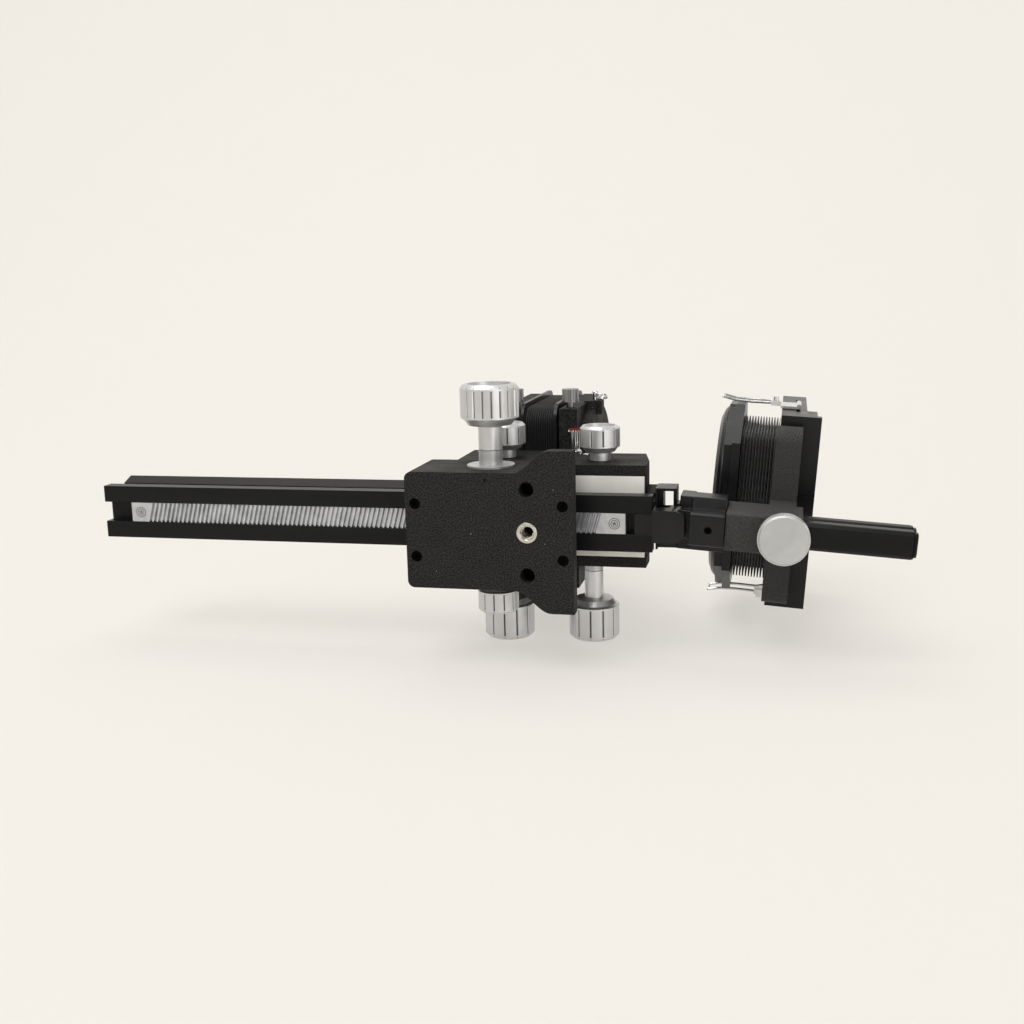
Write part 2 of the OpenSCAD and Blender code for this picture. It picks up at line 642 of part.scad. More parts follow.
module front_saddle() color(crinkle) difference() {
    intersection() {
        run_x(front_saddle_x0, front_saddle_x1) saddle_section(front_saddle_w);
        rotate([90, 0, 0]) translate([0, 0, -front_saddle_w]) linear_extrude(front_saddle_w * 2)
            polygon([[front_saddle_x0, saddle_z0 - over], [front_saddle_x1, saddle_z0 - over],
                [front_saddle_x1, stand_axis_z], [front_saddle_x2, saddle_z1 + over],
                [front_saddle_x0, saddle_z1 + over]]);
    }
    // the hollow that the round lens head sits in
    rod_x(front_frame_x1, 0, axis_z, head_d / 2 + run_play / 2, front_saddle_x1 - front_frame_x1);
    saddle_bores(front_drive_x, front_lock_x, front_saddle_w);
    rod_y(release_x, -front_saddle_w / 2 - over, release_z, wall + run_play / 6, over + wall * 3);
}

module front_upright() color(crinkle) difference() {
    union() {
        upright(front_frame_x0, front_frame_x1);
        rod_x(front_frame_x1, 0, axis_z, head_d / 2, head_x1 - front_frame_x1);
        // the lug that holds the release pin
        span([front_frame_x1 - over, -frame_w / 2 - wall / 2, axis_z - wall * 6],
            [front_frame_x1 + wall * 4, -head_d / 2 + wall * 2, axis_z - wall * 2]);
    }
    rod_x(front_frame_x0 - over, 0, axis_z, lens_bore_d / 2 + wall * 2, frame_w);
    rod_y(board_screw_x, -frame_w / 2 - over, ring_screw_z, small_grip_d / 4 + run_play, frame_w / 8);
}
board_screw_x = 4.2;
release_x = 9.6;
release_z = 70;
module front_gib_upper() gib(front_saddle_x0, front_saddle_x1 - edge, -1);
module front_gib_lower() gib(front_saddle_x0, front_saddle_x1 - edge, 1);

// the bright lens mount, with a step and three bayonet gaps
module lens_ring() color(chrome) difference() {
    union() {
        rod_x(front_frame_x0 + wall, 0, axis_z, lens_bore_d / 2 + wall * 2, head_x1 - front_frame_x0 - wall);
        rod_x(head_x1, 0, axis_z, lens_bore_d / 2 + wall * 3, lip);
    }
    rod_x(front_frame_x0, 0, axis_z, lens_bore_d / 2, frame_w);
    for (a = [0:120:240]) translate([0, 0, axis_z]) rotate([a, 0, 0])
        span([head_x1 - edge, -wall * 4, 0], [head_x1 + lip + over, wall * 4, lens_bore_d / 2 + wall]);
}

module lens_board_screw() color(satin) translate([board_screw_x, -frame_w / 2 - part_gap, ring_screw_z])
    mirror([0, 1, 0]) small_knob(small_grip_d / 2, small_grip_d * 3 / 4, lip * 2, wall * 4);

// the cable release's socket: a stem in the saddle's side and a dished head
socket_len = 12.4;
module release_socket() color(chrome) translate([release_x, -front_saddle_w / 2, release_z])
    rotate([90, 0, 0]) difference() {
        rotate_extrude() polygon([[0, -wall * 3], [wall, -wall * 3], [wall, 0], [wall * 1.5, 0],
            [wall * 1.5, wall], [wall, wall * 1.5], [wall, socket_len - lip], [wall * 2, socket_len - edge],
            [wall * 2, socket_len], [0, socket_len]]);
        translate([0, 0, socket_len / 3]) cylinder(r = edge, h = socket_len);
    }
module release_ring() color(red) translate([release_x, -front_saddle_w / 2 - socket_len, release_z])
    rotate([90, 0, 0]) difference() {
        cylinder(r = wall * 1.7, h = edge / 2);
        translate([0, 0, -over]) cylinder(r = wall / 2 + edge / 4, h = over * 3);
    }

// the copier is drawn straight ahead of the rail and then turned about its swivel pin
module turned() translate([swivel_x, 0, 0]) rotate([0, 0, swivel_rest]) translate([-swivel_x, 0, 0]) children();
arm_x0 = swivel_x + adapter_bar / 2 + part_gap;
arm_x1 = 84;
arm_half = 12.2;
arm_ledge = 32;
module copier_arm() color(black) turned() difference() {
    b = adapter_bar / 2;
    union() {
        // the arm's section: a narrow bar below a wide back
        run_x(arm_x0, arm_x1) polygon([[-b + edge, arm_z], [b - edge, arm_z], [b, arm_z + edge],
            [b, arm_ledge - wall], [arm_half, arm_ledge], [arm_half, plate_z1 - wall],
            [arm_half - wall, plate_z1], [-arm_half + wall, plate_z1], [-arm_half, plate_z1 - wall],
            [-arm_half, arm_ledge], [-b, arm_ledge - wall], [-b, arm_z + edge]]);
        // the wings beside the fork
        difference() {
            span([swivel_x + wall, -arm_half, arm_ledge], [arm_x0 + edge, arm_half, plate_z1]);
            rod_z(swivel_x, 0, arm_ledge - over, b + part_gap, plate_z1);
        }
        // the tongue in the adapter's fork
        span([swivel_x, -b + edge, tongue_z0], [arm_x0 + edge, b - edge, tongue_z1]);
        rod_z(swivel_x, 0, tongue_z0, b - edge, tongue_z1 - tongue_z0);
    }
    rod_z(swivel_x, 0, tongue_z0 - over, pin_r + run_play, tongue_z1 - tongue_z0 + over * 2);
    run_x(rod_x0, arm_x1 + over) rod_shape(0);
    rod_z(set_screw_x, 0, arm_z - over, wall * 0.8, rod_z0 - arm_z + over);
}
rod_x0 = 72;
set_screw_x = 76.9;
rod_edge = 1.5;
// the rod's section, with a groove along its upper side in the photograph
module rod_shape(play) {
    h = rod_w / 2 + play;
    a = rod_z0 - play;
    b = rod_z1 + play;
    g = (rod_z0 + rod_z1) / 2;
    polygon([[-h + rod_edge, a], [h - rod_edge, a], [h, a + rod_edge], [h, b - rod_edge],
        [h - rod_edge, b], [-h + rod_edge, b], [-h, b - rod_edge], [-h, g + wall],
        [-h + rod_edge, g + wall / 2], [-h + rod_edge, g - wall / 2], [-h, g - wall], [-h, a + rod_edge]]);
}
module copier_rod() color(black) turned() {
    run_x(rod_x0, rod_x1 - rod_edge) rod_shape(0);
    run_x(rod_x1 - rod_edge, rod_x1) offset(delta = -edge) rod_shape(0);
}
module arm_set_screw() color(black) turned() difference() {
    rod_z(set_screw_x, 0, arm_z + edge, wall * 0.8, rod_z0 - arm_z - edge);
    rod_z(set_screw_x, 0, arm_z - over, edge, over + edge * 3, $fn = 6);
}

sleeve_x0 = arm_x1 + part_gap;
sleeve_x1 = 117;
sleeve_z0 = 20.8;
yoke_x0 = 102.3;
yoke_x1 = 114.2;
yoke_z0 = 60;
thumb_x = 109.5;
copier_saddle = 48;
module copier_casting() color(crinkle) turned() difference() {
    s = rod_w / 2 + wall * 1.2;
    y = stage_w / 2 - wall * 5.5;
    union() {
        // the sleeve on the rod
        run_x(sleeve_x0, sleeve_x1) polygon([[-s + edge, sleeve_z0], [s - edge, sleeve_z0],
            [s, sleeve_z0 + edge], [s, copier_saddle], [-s, copier_saddle], [-s, sleeve_z0 + edge]]);
        // the post and the cross yoke under the film stage
        span([yoke_x0, -s, copier_saddle - edge], [yoke_x1, s, yoke_z0 + edge]);
        span([yoke_x0, -y, yoke_z0], [yoke_x1, y, stage_z0]);
        for (k = [-1, 1]) rod_x(yoke_x0, k * y, (yoke_z0 + stage_z0) / 2, (stage_z0 - yoke_z0) / 2, yoke_x1 - yoke_x0);
    }
    run_x(sleeve_x0 - over, sleeve_x1 + over) rod_shape(slide_play);
    rod_z(thumb_x, 0, sleeve_z0 - over, shaft_d / 2 - edge + run_play, rod_z0 - sleeve_z0 + over * 2);
}

thumb_face = 13;
module copier_thumb_screw() color(satin) turned() difference() {
    r = thumb_d / 2;
    translate([thumb_x, 0, 0]) rotate_extrude() polygon([[0, thumb_face], [r - edge, thumb_face],
        [r, thumb_face + edge], [r, sleeve_z0 - part_gap - edge], [r - edge, sleeve_z0 - part_gap],
        [shaft_d / 2 - edge, sleeve_z0 - part_gap], [shaft_d / 2 - edge, rod_z0 - edge / 4],
        [0, rod_z0 - edge / 4]]);
    for (i = [0:44]) translate([thumb_x, 0, 0]) rotate([0, 0, i * 8]) translate([r + edge / 5, 0, thumb_face - over])
        cylinder(r = edge / 2, h = sleeve_z0, $fn = 4);
}

door_x0 = 116.2;
hinge_r = 1.5;
door_y = 39;
ear_h = 6;
film_gap = 1.6;
film_h = 51;
module film_stage() color(black) turned() difference() {
    y = stage_w / 2;
    union() {
        span([stage_x0, -y, stage_z0], [door_x0 - part_gap, y, stage_z1]);
        // the two ears of the door's hinge
        for (z = [stage_z0 + wall * 4, stage_z1 - wall * 4 - ear_h]) {
            span([door_x0 - edge, door_y + part_gap, z], [door_x0 + hinge_r, door_y + part_gap + hinge_r * 2, z + ear_h]);
            rod_z(door_x0 + hinge_r, door_y + part_gap + hinge_r, z, hinge_r, ear_h);
        }
        // the lower ledge below the door
        span([door_x0 - edge, -y, stage_z0], [stage_x1, y, stage_z0 + wall * 3]);
    }
    span([stage_x0 - over, -gate_w / 2, axis_z - gate_h / 2], [stage_x1 + over, gate_w / 2, axis_z + gate_h / 2]);
    // the recess that the bellows looks into, and the slot for a slide or film strip
    span([stage_x0 - over, -gate_w / 2 - wall, axis_z - gate_h / 2 - wall],
        [stage_x0 + wall, gate_w / 2 + wall, axis_z + gate_h / 2 + wall]);
    span([door_x0 - wall * 2 - film_gap, -y - over, axis_z - film_h / 2],
        [door_x0 - wall * 2, y + over, axis_z + film_h / 2]);
    span([door_x0 - wall * 2, -gate_w / 2 - wall * 4, axis_z - gate_h / 2 - wall],
        [door_x0 + over, gate_w / 2 + wall * 4, axis_z + gate_h / 2 + wall]);
}

module gate_door() color(black) turned() difference() {
    union() {
        span([door_x0, -door_y, stage_z0 + wall * 4], [stage_x1 - edge, door_y, stage_z1 - edge]);
        // the hinge barrel between the stage's two ears
        rod_z(door_x0 + hinge_r, door_y + part_gap + hinge_r, stage_z0 + wall * 4 + ear_h + part_gap, hinge_r,
            stage_z1 - stage_z0 - wall * 8 - (ear_h + part_gap) * 2);
        span([door_x0 + hinge_r, door_y - edge, stage_z0 + wall * 4 + ear_h + part_gap],
            [door_x0 + hinge_r * 2, door_y + part_gap + hinge_r, stage_z1 - wall * 4 - ear_h - part_gap]);
        // the raised ribs at both edges
        for (k = [-1, 1]) translate([0, k * (door_y - wall * 2.6), 0])
            span([stage_x1 - edge * 2, -wall * 2.6, stage_z0 + wall * 4], [stage_x1, wall * 2.6, stage_z1 - edge]);
    }
    span([door_x0 - over, -gate_w / 2 - wall, axis_z - gate_h / 2 - wall],
        [stage_x1 + over, gate_w / 2 + wall, axis_z + gate_h / 2 + wall]);
    span([stage_x1 - edge - wall * 2, -gate_w / 2 - wall * 2, axis_z - gate_h / 2 - wall * 2],
        [stage_x1 - edge - wall, gate_w / 2 + wall * 2, axis_z + gate_h / 2 + wall * 2]);
}
module opal_screen() color(opal) turned()
    span([stage_x1 - edge - wall * 2, -gate_w / 2 - wall * 2, axis_z - gate_h / 2 - wall * 2],
        [stage_x1 - edge - wall, gate_w / 2 + wall * 2, axis_z + gate_h / 2 + wall * 2]);

copier_bellows_x0 = 86.4;
copier_bellows_x1 = stage_x0 - part_gap;
copier_cloth = 2.2;
module copier_bellows() color(black) turned()
    pleats(copier_bellows_x0, copier_bellows_x1, copier_bellows_w / 2, copier_bellows_w / 2, copier_pleat_d,
        copier_pleats, wall * 1.5, copier_cloth);

plate_y = 47;
ring_x0 = 74.6;
plate_x0 = 78.4;
mouth_d = 56;
// the plate at the bellows' front, with cut corners, and the lug that takes the cradle wire
module copier_plate() color(black) turned() difference() {
    union() {
        for (p = [[plate_x0, 3.5, plate_y - wall], [copier_bellows_x0 - 4.4, 4.1, plate_y]])
            translate([0, 0, axis_z]) run_x(p[0], p[0] + p[1]) polygon([[-p[2], -p[2] / 3],
                [-p[2] * 2 / 3, -p[2] + wall * 2], [p[2] * 2 / 3, -p[2] + wall * 2], [p[2], -p[2] / 3],
                [p[2], p[2] / 3], [p[2] * 2 / 3, p[2] - wall * 2], [-p[2] * 2 / 3, p[2] - wall * 2],
                [-p[2], p[2] / 3]]);
        rod_x(plate_x0 + wall, 0, axis_z, mouth_d / 2 + wall * 2, copier_bellows_x0 - plate_x0 - wall * 1.5);
        for (k = [-1, 1]) rod_x(plate_x0, k * (plate_y - wall * 1.8), axis_z - wall * 4, wall * 1.3, wall * 2);
    }
    rod_x(plate_x0 - over, 0, axis_z, mouth_d / 2, wall * 6);
}
ring_flare = 1.6;
// the round front ring that a lens's filter thread screws into
module copier_ring() color(black) turned() translate([ring_x0, 0, axis_z]) rotate([0, 90, 0]) difference() {
    t = plate_x0 - ring_x0;
    rotate_extrude() polygon([[0, 0], [plate_y * 0.82, 0], [plate_y * 0.9, ring_flare],
        [plate_y * 0.93, t - edge], [plate_y * 0.93, t], [0, t]]);
    translate([0, 0, -over]) cylinder(r = mouth_d / 2, h = t + over * 2);
}

// a film cradle: bright hinge plate, catch and bent wire, drawn on the -Y side
wire_r = 0.7;
cradle_x = 107;
cradle_z = 104;
module wire_run(p) for (i = [0:len(p) - 2]) {
    d = p[i + 1] - p[i];
    n = norm(d);
    translate(p[i]) {
        sphere(r = wire_r, $fn = 12);
        rotate([0, acos(d[2] / n), atan2(d[1], d[0])]) cylinder(r = wire_r, h = n, $fn = 12);
    }
}
module cradle() {
    y = stage_w / 2 + part_gap;
    h = 14;
    // the hinge plate on the stage's end and its knuckle
    span([cradle_x - wall * 2, -y - lip, cradle_z - wall * 2], [cradle_x + wall * 2.4, -y, cradle_z + h]);
    rod_z(cradle_x + wall * 2.4, -y - lip, cradle_z - wall * 2, lip, h + wall * 2);
    // the catch that holds the wire
    span([cradle_x - wall * 4.4, -y - lip * 2.4, cradle_z], [cradle_x - wall * 2, -y - lip / 2, cradle_z + wall * 3]);
    rod_y(cradle_x - wall * 3.2, -y - lip * 4, cradle_z + wall * 1.5, wall * 0.7, lip * 2);
    // the bent wire that keeps a roll of film in line
    xs = cradle_x - wall * 3;
    yw = -y - lip * 1.7;
    wire_run([[xs, yw, cradle_z + wall], [xs - wall * 2.4, yw + lip / 4, cradle_z + wall],
        [xs - wall * 6, yw + lip / 3, cradle_z + wall], [xs - wall * 10, yw, cradle_z + wall],
        [xs - wall * 13, yw - lip, cradle_z + wall], [xs - wall * 13, yw - lip, cradle_z + h - wall],
        [xs - wall * 10, yw, cradle_z + h - wall], [xs - wall * 6, yw + lip / 3, cradle_z + h - wall],
        [xs - wall, yw + lip / 4, cradle_z + h - wall], [xs + wall, yw + lip, cradle_z + h - wall]]);
}
module cradle_top() color(pale) turned() cradle();
module cradle_bottom() color(pale) turned() mirror([0, 1, 0]) cradle();

carriage_block();
tripod_bushing();
block_screws();
carriage_bush();
carriage_knob();
carriage_pinion();
carriage_lock_knob();
carriage_lock_pad();
rail();
focus_rack();
standard_rack();
rack_screws();
adapter();
swivel_pin();
rear_saddle();
rear_upright();
rear_gib_upper();
rear_gib_lower();
rear_bush();
rear_knob();
rear_pinion();
rear_lock_knob();
camera_ring();
camera_ring_screw();
bellows_rear_plate();
front_saddle();
front_upright();
front_gib_upper();
front_gib_lower();
front_bush();
front_knob();
front_pinion();
front_lock_knob();
lens_ring();
lens_board_screw();
release_socket();
release_ring();
bellows_front_plate();
main_bellows();
copier_arm();
copier_rod();
arm_set_screw();
copier_casting();
copier_thumb_screw();
film_stage();
gate_door();
opal_screen();
copier_bellows();
copier_plate();
copier_ring();
cradle_top();
cradle_bottom();
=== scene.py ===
"""Looks for the macro bellows with slide copier: finishes, soft parts, trim, stage and light."""

import logging
import math
from dataclasses import dataclass, field, replace
from enum import Enum

import bpy
from mathutils import Matrix, Vector


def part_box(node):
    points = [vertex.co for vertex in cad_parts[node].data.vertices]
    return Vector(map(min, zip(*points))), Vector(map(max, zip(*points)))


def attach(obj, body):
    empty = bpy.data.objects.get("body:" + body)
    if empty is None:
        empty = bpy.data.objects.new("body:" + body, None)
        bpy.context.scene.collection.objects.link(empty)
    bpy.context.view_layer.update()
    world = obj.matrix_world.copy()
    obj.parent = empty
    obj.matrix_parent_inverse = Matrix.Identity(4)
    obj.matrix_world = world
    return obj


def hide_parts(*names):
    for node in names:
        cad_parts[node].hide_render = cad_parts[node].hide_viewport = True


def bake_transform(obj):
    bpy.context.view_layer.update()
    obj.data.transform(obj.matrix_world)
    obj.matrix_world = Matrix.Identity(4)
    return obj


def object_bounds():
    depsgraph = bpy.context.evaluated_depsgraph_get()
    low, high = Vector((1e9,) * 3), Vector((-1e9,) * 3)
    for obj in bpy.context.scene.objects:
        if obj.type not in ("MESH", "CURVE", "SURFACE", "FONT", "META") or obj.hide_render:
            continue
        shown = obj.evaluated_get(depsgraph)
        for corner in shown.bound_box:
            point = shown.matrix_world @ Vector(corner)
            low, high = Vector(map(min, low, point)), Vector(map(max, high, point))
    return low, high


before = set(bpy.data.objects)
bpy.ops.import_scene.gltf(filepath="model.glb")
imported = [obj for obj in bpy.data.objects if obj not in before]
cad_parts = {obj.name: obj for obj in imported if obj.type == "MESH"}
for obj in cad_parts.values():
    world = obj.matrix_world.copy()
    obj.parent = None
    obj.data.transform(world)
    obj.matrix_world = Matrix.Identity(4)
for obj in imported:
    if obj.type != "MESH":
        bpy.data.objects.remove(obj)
cad_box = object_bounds()

log = logging.getLogger("macro_bellows")
MM = 0.001
CORNER_SEGMENTS = 5
EDGE_SEGMENTS = 3
BARE_SHARE = 0.82
SHARP_EDGE_DEG = 40.0


class Work(Enum):
    """What an edit-mode selection picks."""

    VERT = "VERT"
    EDGE = "EDGE"
    FACE = "FACE"


def clear_selection() -> None:
    """Leave edit mode and deselect every object."""
    if bpy.context.object and bpy.context.object.mode != "OBJECT":
        bpy.ops.object.mode_set(mode="OBJECT")
    bpy.ops.object.select_all(action="DESELECT")


def name_active(name: str) -> bpy.types.Object:
    """Name the active object and its mesh.

    Args:
        name: the piece's name.

    Returns:
        The active object.
    """
    piece = bpy.context.object
    piece.name = name
    piece.data.name = name
    return piece


def edit(kind: Work = Work.VERT) -> None:
    """Enter edit mode with the given kind of selection."""
    bpy.ops.object.mode_set(mode="EDIT")
    bpy.ops.mesh.select_mode(type=kind.value)


def pick_faces(piece: bpy.types.Object, direction: Vector, least: float = 0.9) -> None:
    """Select the faces of a piece whose normals point along a direction, and end in edit mode.

    Args:
        piece: the active mesh object.
        direction: unit vector in the object's own axes.
        least: the lowest cosine that counts.
    """
    bpy.ops.object.mode_set(mode="EDIT")
    bpy.ops.mesh.select_mode(type="FACE")
    bpy.ops.mesh.select_all(action="DESELECT")
    bpy.ops.object.mode_set(mode="OBJECT")
    for face in piece.data.polygons:
        face.select = face.normal.dot(direction) > least
    bpy.ops.object.mode_set(mode="EDIT")


def settle(piece: bpy.types.Object, smooth_deg: float = 35.0) -> bpy.types.Object:
    """Apply a piece's modifiers and place, point its faces outwards and smooth its soft edges.

    Args:
        piece: the piece to finish.
        smooth_deg: edges flatter than this are shaded smooth.

    Returns:
        The same piece, at the origin, unturned and unscaled.
    """
    clear_selection()
    piece.select_set(True)
    bpy.context.view_layer.objects.active = piece
    for modifier in list(piece.modifiers):
        bpy.ops.object.modifier_apply(modifier=modifier.name)
    bpy.ops.object.transform_apply(location=True, rotation=True, scale=True)
    edit()
    bpy.ops.mesh.select_all(action="SELECT")
    bpy.ops.mesh.remove_doubles(threshold=1e-6)
    bpy.ops.mesh.select_all(action="DESELECT")
    bpy.ops.mesh.select_non_manifold(extend=False, use_wire=False, use_multi_face=False,
                                     use_non_contiguous=False, use_verts=False)
    bpy.ops.mesh.fill_holes(sides=0)
    bpy.ops.mesh.select_all(action="SELECT")
    bpy.ops.mesh.normals_make_consistent(inside=False)
    bpy.ops.object.mode_set(mode="OBJECT")
    bpy.ops.object.shade_smooth_by_angle(angle=math.radians(smooth_deg))
    piece.select_set(False)
    return piece


def clear_picks(piece: bpy.types.Object) -> None:
    """Leave no vertex, edge or face of a piece selected.

    Args:
        piece: the piece, in object mode.
    """
    for kind in (piece.data.polygons, piece.data.edges, piece.data.vertices):
        for item in kind:
            item.select = False


def rounded_outline(name: str, half_y: float, half_z: float, corner: float) -> bpy.types.Object:
    """Draw the open outline of a rounded square across X, and end in edit mode, all selected.

    Args:
        name: the piece's name.
        half_y: half its width.
        half_z: half its height.
        corner: how far each corner is rounded.

    Returns:
        The new piece.
    """
    clear_selection()
    bpy.ops.mesh.primitive_plane_add(size=2.0, rotation=(0.0, math.pi / 2, 0.0))
    piece = name_active(name)
    piece.scale = (half_z, half_y, 1.0)
    bpy.ops.object.transform_apply(location=True, rotation=True, scale=True)
    edit(Work.VERT)
    bpy.ops.mesh.select_all(action="SELECT")
    bpy.ops.mesh.bevel(offset=corner, segments=CORNER_SEGMENTS, affect="VERTICES")
    bpy.ops.mesh.delete(type="ONLY_FACE")
    bpy.ops.mesh.select_all(action="SELECT")
    return piece


class NodeShelf:
    """Shader node groups that more than one finish uses, each built once."""

    def __init__(self) -> None:
        """Start with an empty shelf."""
        self.groups: dict[str, bpy.types.ShaderNodeTree] = {}

    def _start(
        self, name: str, inputs: dict[str, float], outputs: list[str],
    ) -> bpy.types.ShaderNodeTree:
        """Open a group with float inputs and outputs and object coordinates in its input.

        Args:
            name: the group's name.
            inputs: socket names and their default values.
            outputs: the names of the float outputs.

        Returns:
            The new node tree.
        """
        tree = bpy.data.node_groups.new(name, "ShaderNodeTree")
        tree.interface.new_socket(name="Place", in_out="INPUT", socket_type="NodeSocketVector")
        for label, value in inputs.items():
            socket = tree.interface.new_socket(name=label, in_out="INPUT", socket_type="NodeSocketFloat")
            socket.default_value = value
        for label in outputs:
            tree.interface.new_socket(name=label, in_out="OUTPUT", socket_type="NodeSocketFloat")
        tree.nodes.new("NodeGroupInput").name = "in"
        tree.nodes.new("NodeGroupOutput").name = "out"
        self.groups[name] = tree
        return tree

    def grain(self) -> bpy.types.ShaderNodeTree:
        """Group that gives a fine height and a slow drift of tone."""
        if "grain" in self.groups:
            return self.groups["grain"]
        tree = self._start("grain", {"Fine": 1800.0, "Slow": 60.0}, ["Height", "Drift"])
        start, end = tree.nodes["in"], tree.nodes["out"]
        for label, scale, detail in (("Height", "Fine", 3.0), ("Drift", "Slow", 2.0)):
            noise = tree.nodes.new("ShaderNodeTexNoise")
            noise.inputs["Detail"].default_value = detail
            tree.links.new(start.outputs["Place"], noise.inputs["Vector"])
            tree.links.new(start.outputs[scale], noise.inputs["Scale"])
            tree.links.new(noise.outputs["Fac"], end.inputs[label])
        return tree

    def dust(self) -> bpy.types.ShaderNodeTree:
        """Group that gives a mask of a few small pale specks."""
        if "dust" in self.groups:
            return self.groups["dust"]
        tree = self._start("dust", {"Spread": 240.0, "Size": 0.05}, ["Mask"])
        start, end = tree.nodes["in"], tree.nodes["out"]
        cells = tree.nodes.new("ShaderNodeTexVoronoi")
        tree.links.new(start.outputs["Place"], cells.inputs["Vector"])
        tree.links.new(start.outputs["Spread"], cells.inputs["Scale"])
        near = tree.nodes.new("ShaderNodeMath")
        near.operation = "LESS_THAN"
        tree.links.new(cells.outputs["Distance"], near.inputs[0])
        tree.links.new(start.outputs["Size"], near.inputs[1])
        few = tree.nodes.new("ShaderNodeMath")
        few.operation = "GREATER_THAN"
        few.inputs[1].default_value = BARE_SHARE
        split = tree.nodes.new("ShaderNodeSeparateColor")
        tree.links.new(cells.outputs["Color"], split.inputs["Color"])
        tree.links.new(split.outputs["Red"], few.inputs[0])
        both = tree.nodes.new("ShaderNodeMath")
        both.operation = "MULTIPLY"
        tree.links.new(near.outputs[0], both.inputs[0])
        tree.links.new(few.outputs[0], both.inputs[1])
        tree.links.new(both.outputs[0], end.inputs["Mask"])
        return tree

    def flutes(self) -> bpy.types.ShaderNodeTree:
        """Return the group that paints shade into the grooves cut along a knob's grip.

        Returns:
            A group with inputs Place (from the knob's axis along Y), Count and Grip, and output Mask.
        """
        if "flutes" in self.groups:
            return self.groups["flutes"]
        tree = self._start("flutes", {"Count": 12.0, "Grip": 0.012}, ["Mask"])
        nodes, links = tree.nodes, tree.links
        entry = nodes["in"]
        split = nodes.new("ShaderNodeSeparateXYZ")
        links.new(entry.outputs["Place"], split.inputs[0])

        def step(kind: str, first: object, second: object = None) -> bpy.types.NodeSocket:
            """Chain one sum; a number goes on its socket and anything else is linked."""
            node = nodes.new("ShaderNodeMath")
            node.operation = kind
            for socket, value in zip(node.inputs, (first, second)):
                if isinstance(value, float):
                    socket.default_value = value
                elif value is not None:
                    links.new(value, socket)
            return node.outputs[0]

        turn = step("ARCTAN2", split.outputs["Z"], split.outputs["X"])
        place = step("MULTIPLY", step("DIVIDE", turn, math.tau), entry.outputs["Count"])
        whole_turns, half_line = 50.5, 0.05
        deepest, shallowest = 0.942, 0.988
        part = step("FRACT", step("ADD", place, whole_turns))
        line = step("LESS_THAN", step("ABSOLUTE", step("SUBTRACT", part, 0.5)), half_line)
        square_x = step("POWER", split.outputs["X"], 2.0)
        square_z = step("POWER", split.outputs["Z"], 2.0)
        reach = step("SQRT", step("ADD", square_x, square_z))
        sunk = step("DIVIDE", reach, entry.outputs["Grip"])
        below, above = step("LESS_THAN", sunk, shallowest), step("GREATER_THAN", sunk, deepest)
        inside = step("MULTIPLY", below, above)
        links.new(step("MULTIPLY", line, inside), nodes["out"].inputs["Mask"])
        return tree


SHELF = NodeShelf()
DUST_TONE = (0.55, 0.53, 0.5, 1.0)
# Painted shade: the dark tone laid along the knobs' grip grooves, where shade falls.
FLUTE_SHADE_TONE = (0.16, 0.16, 0.162, 1.0)
COAT_ROUGHNESS = 0.15
SHEEN_ROUGHNESS = 0.35


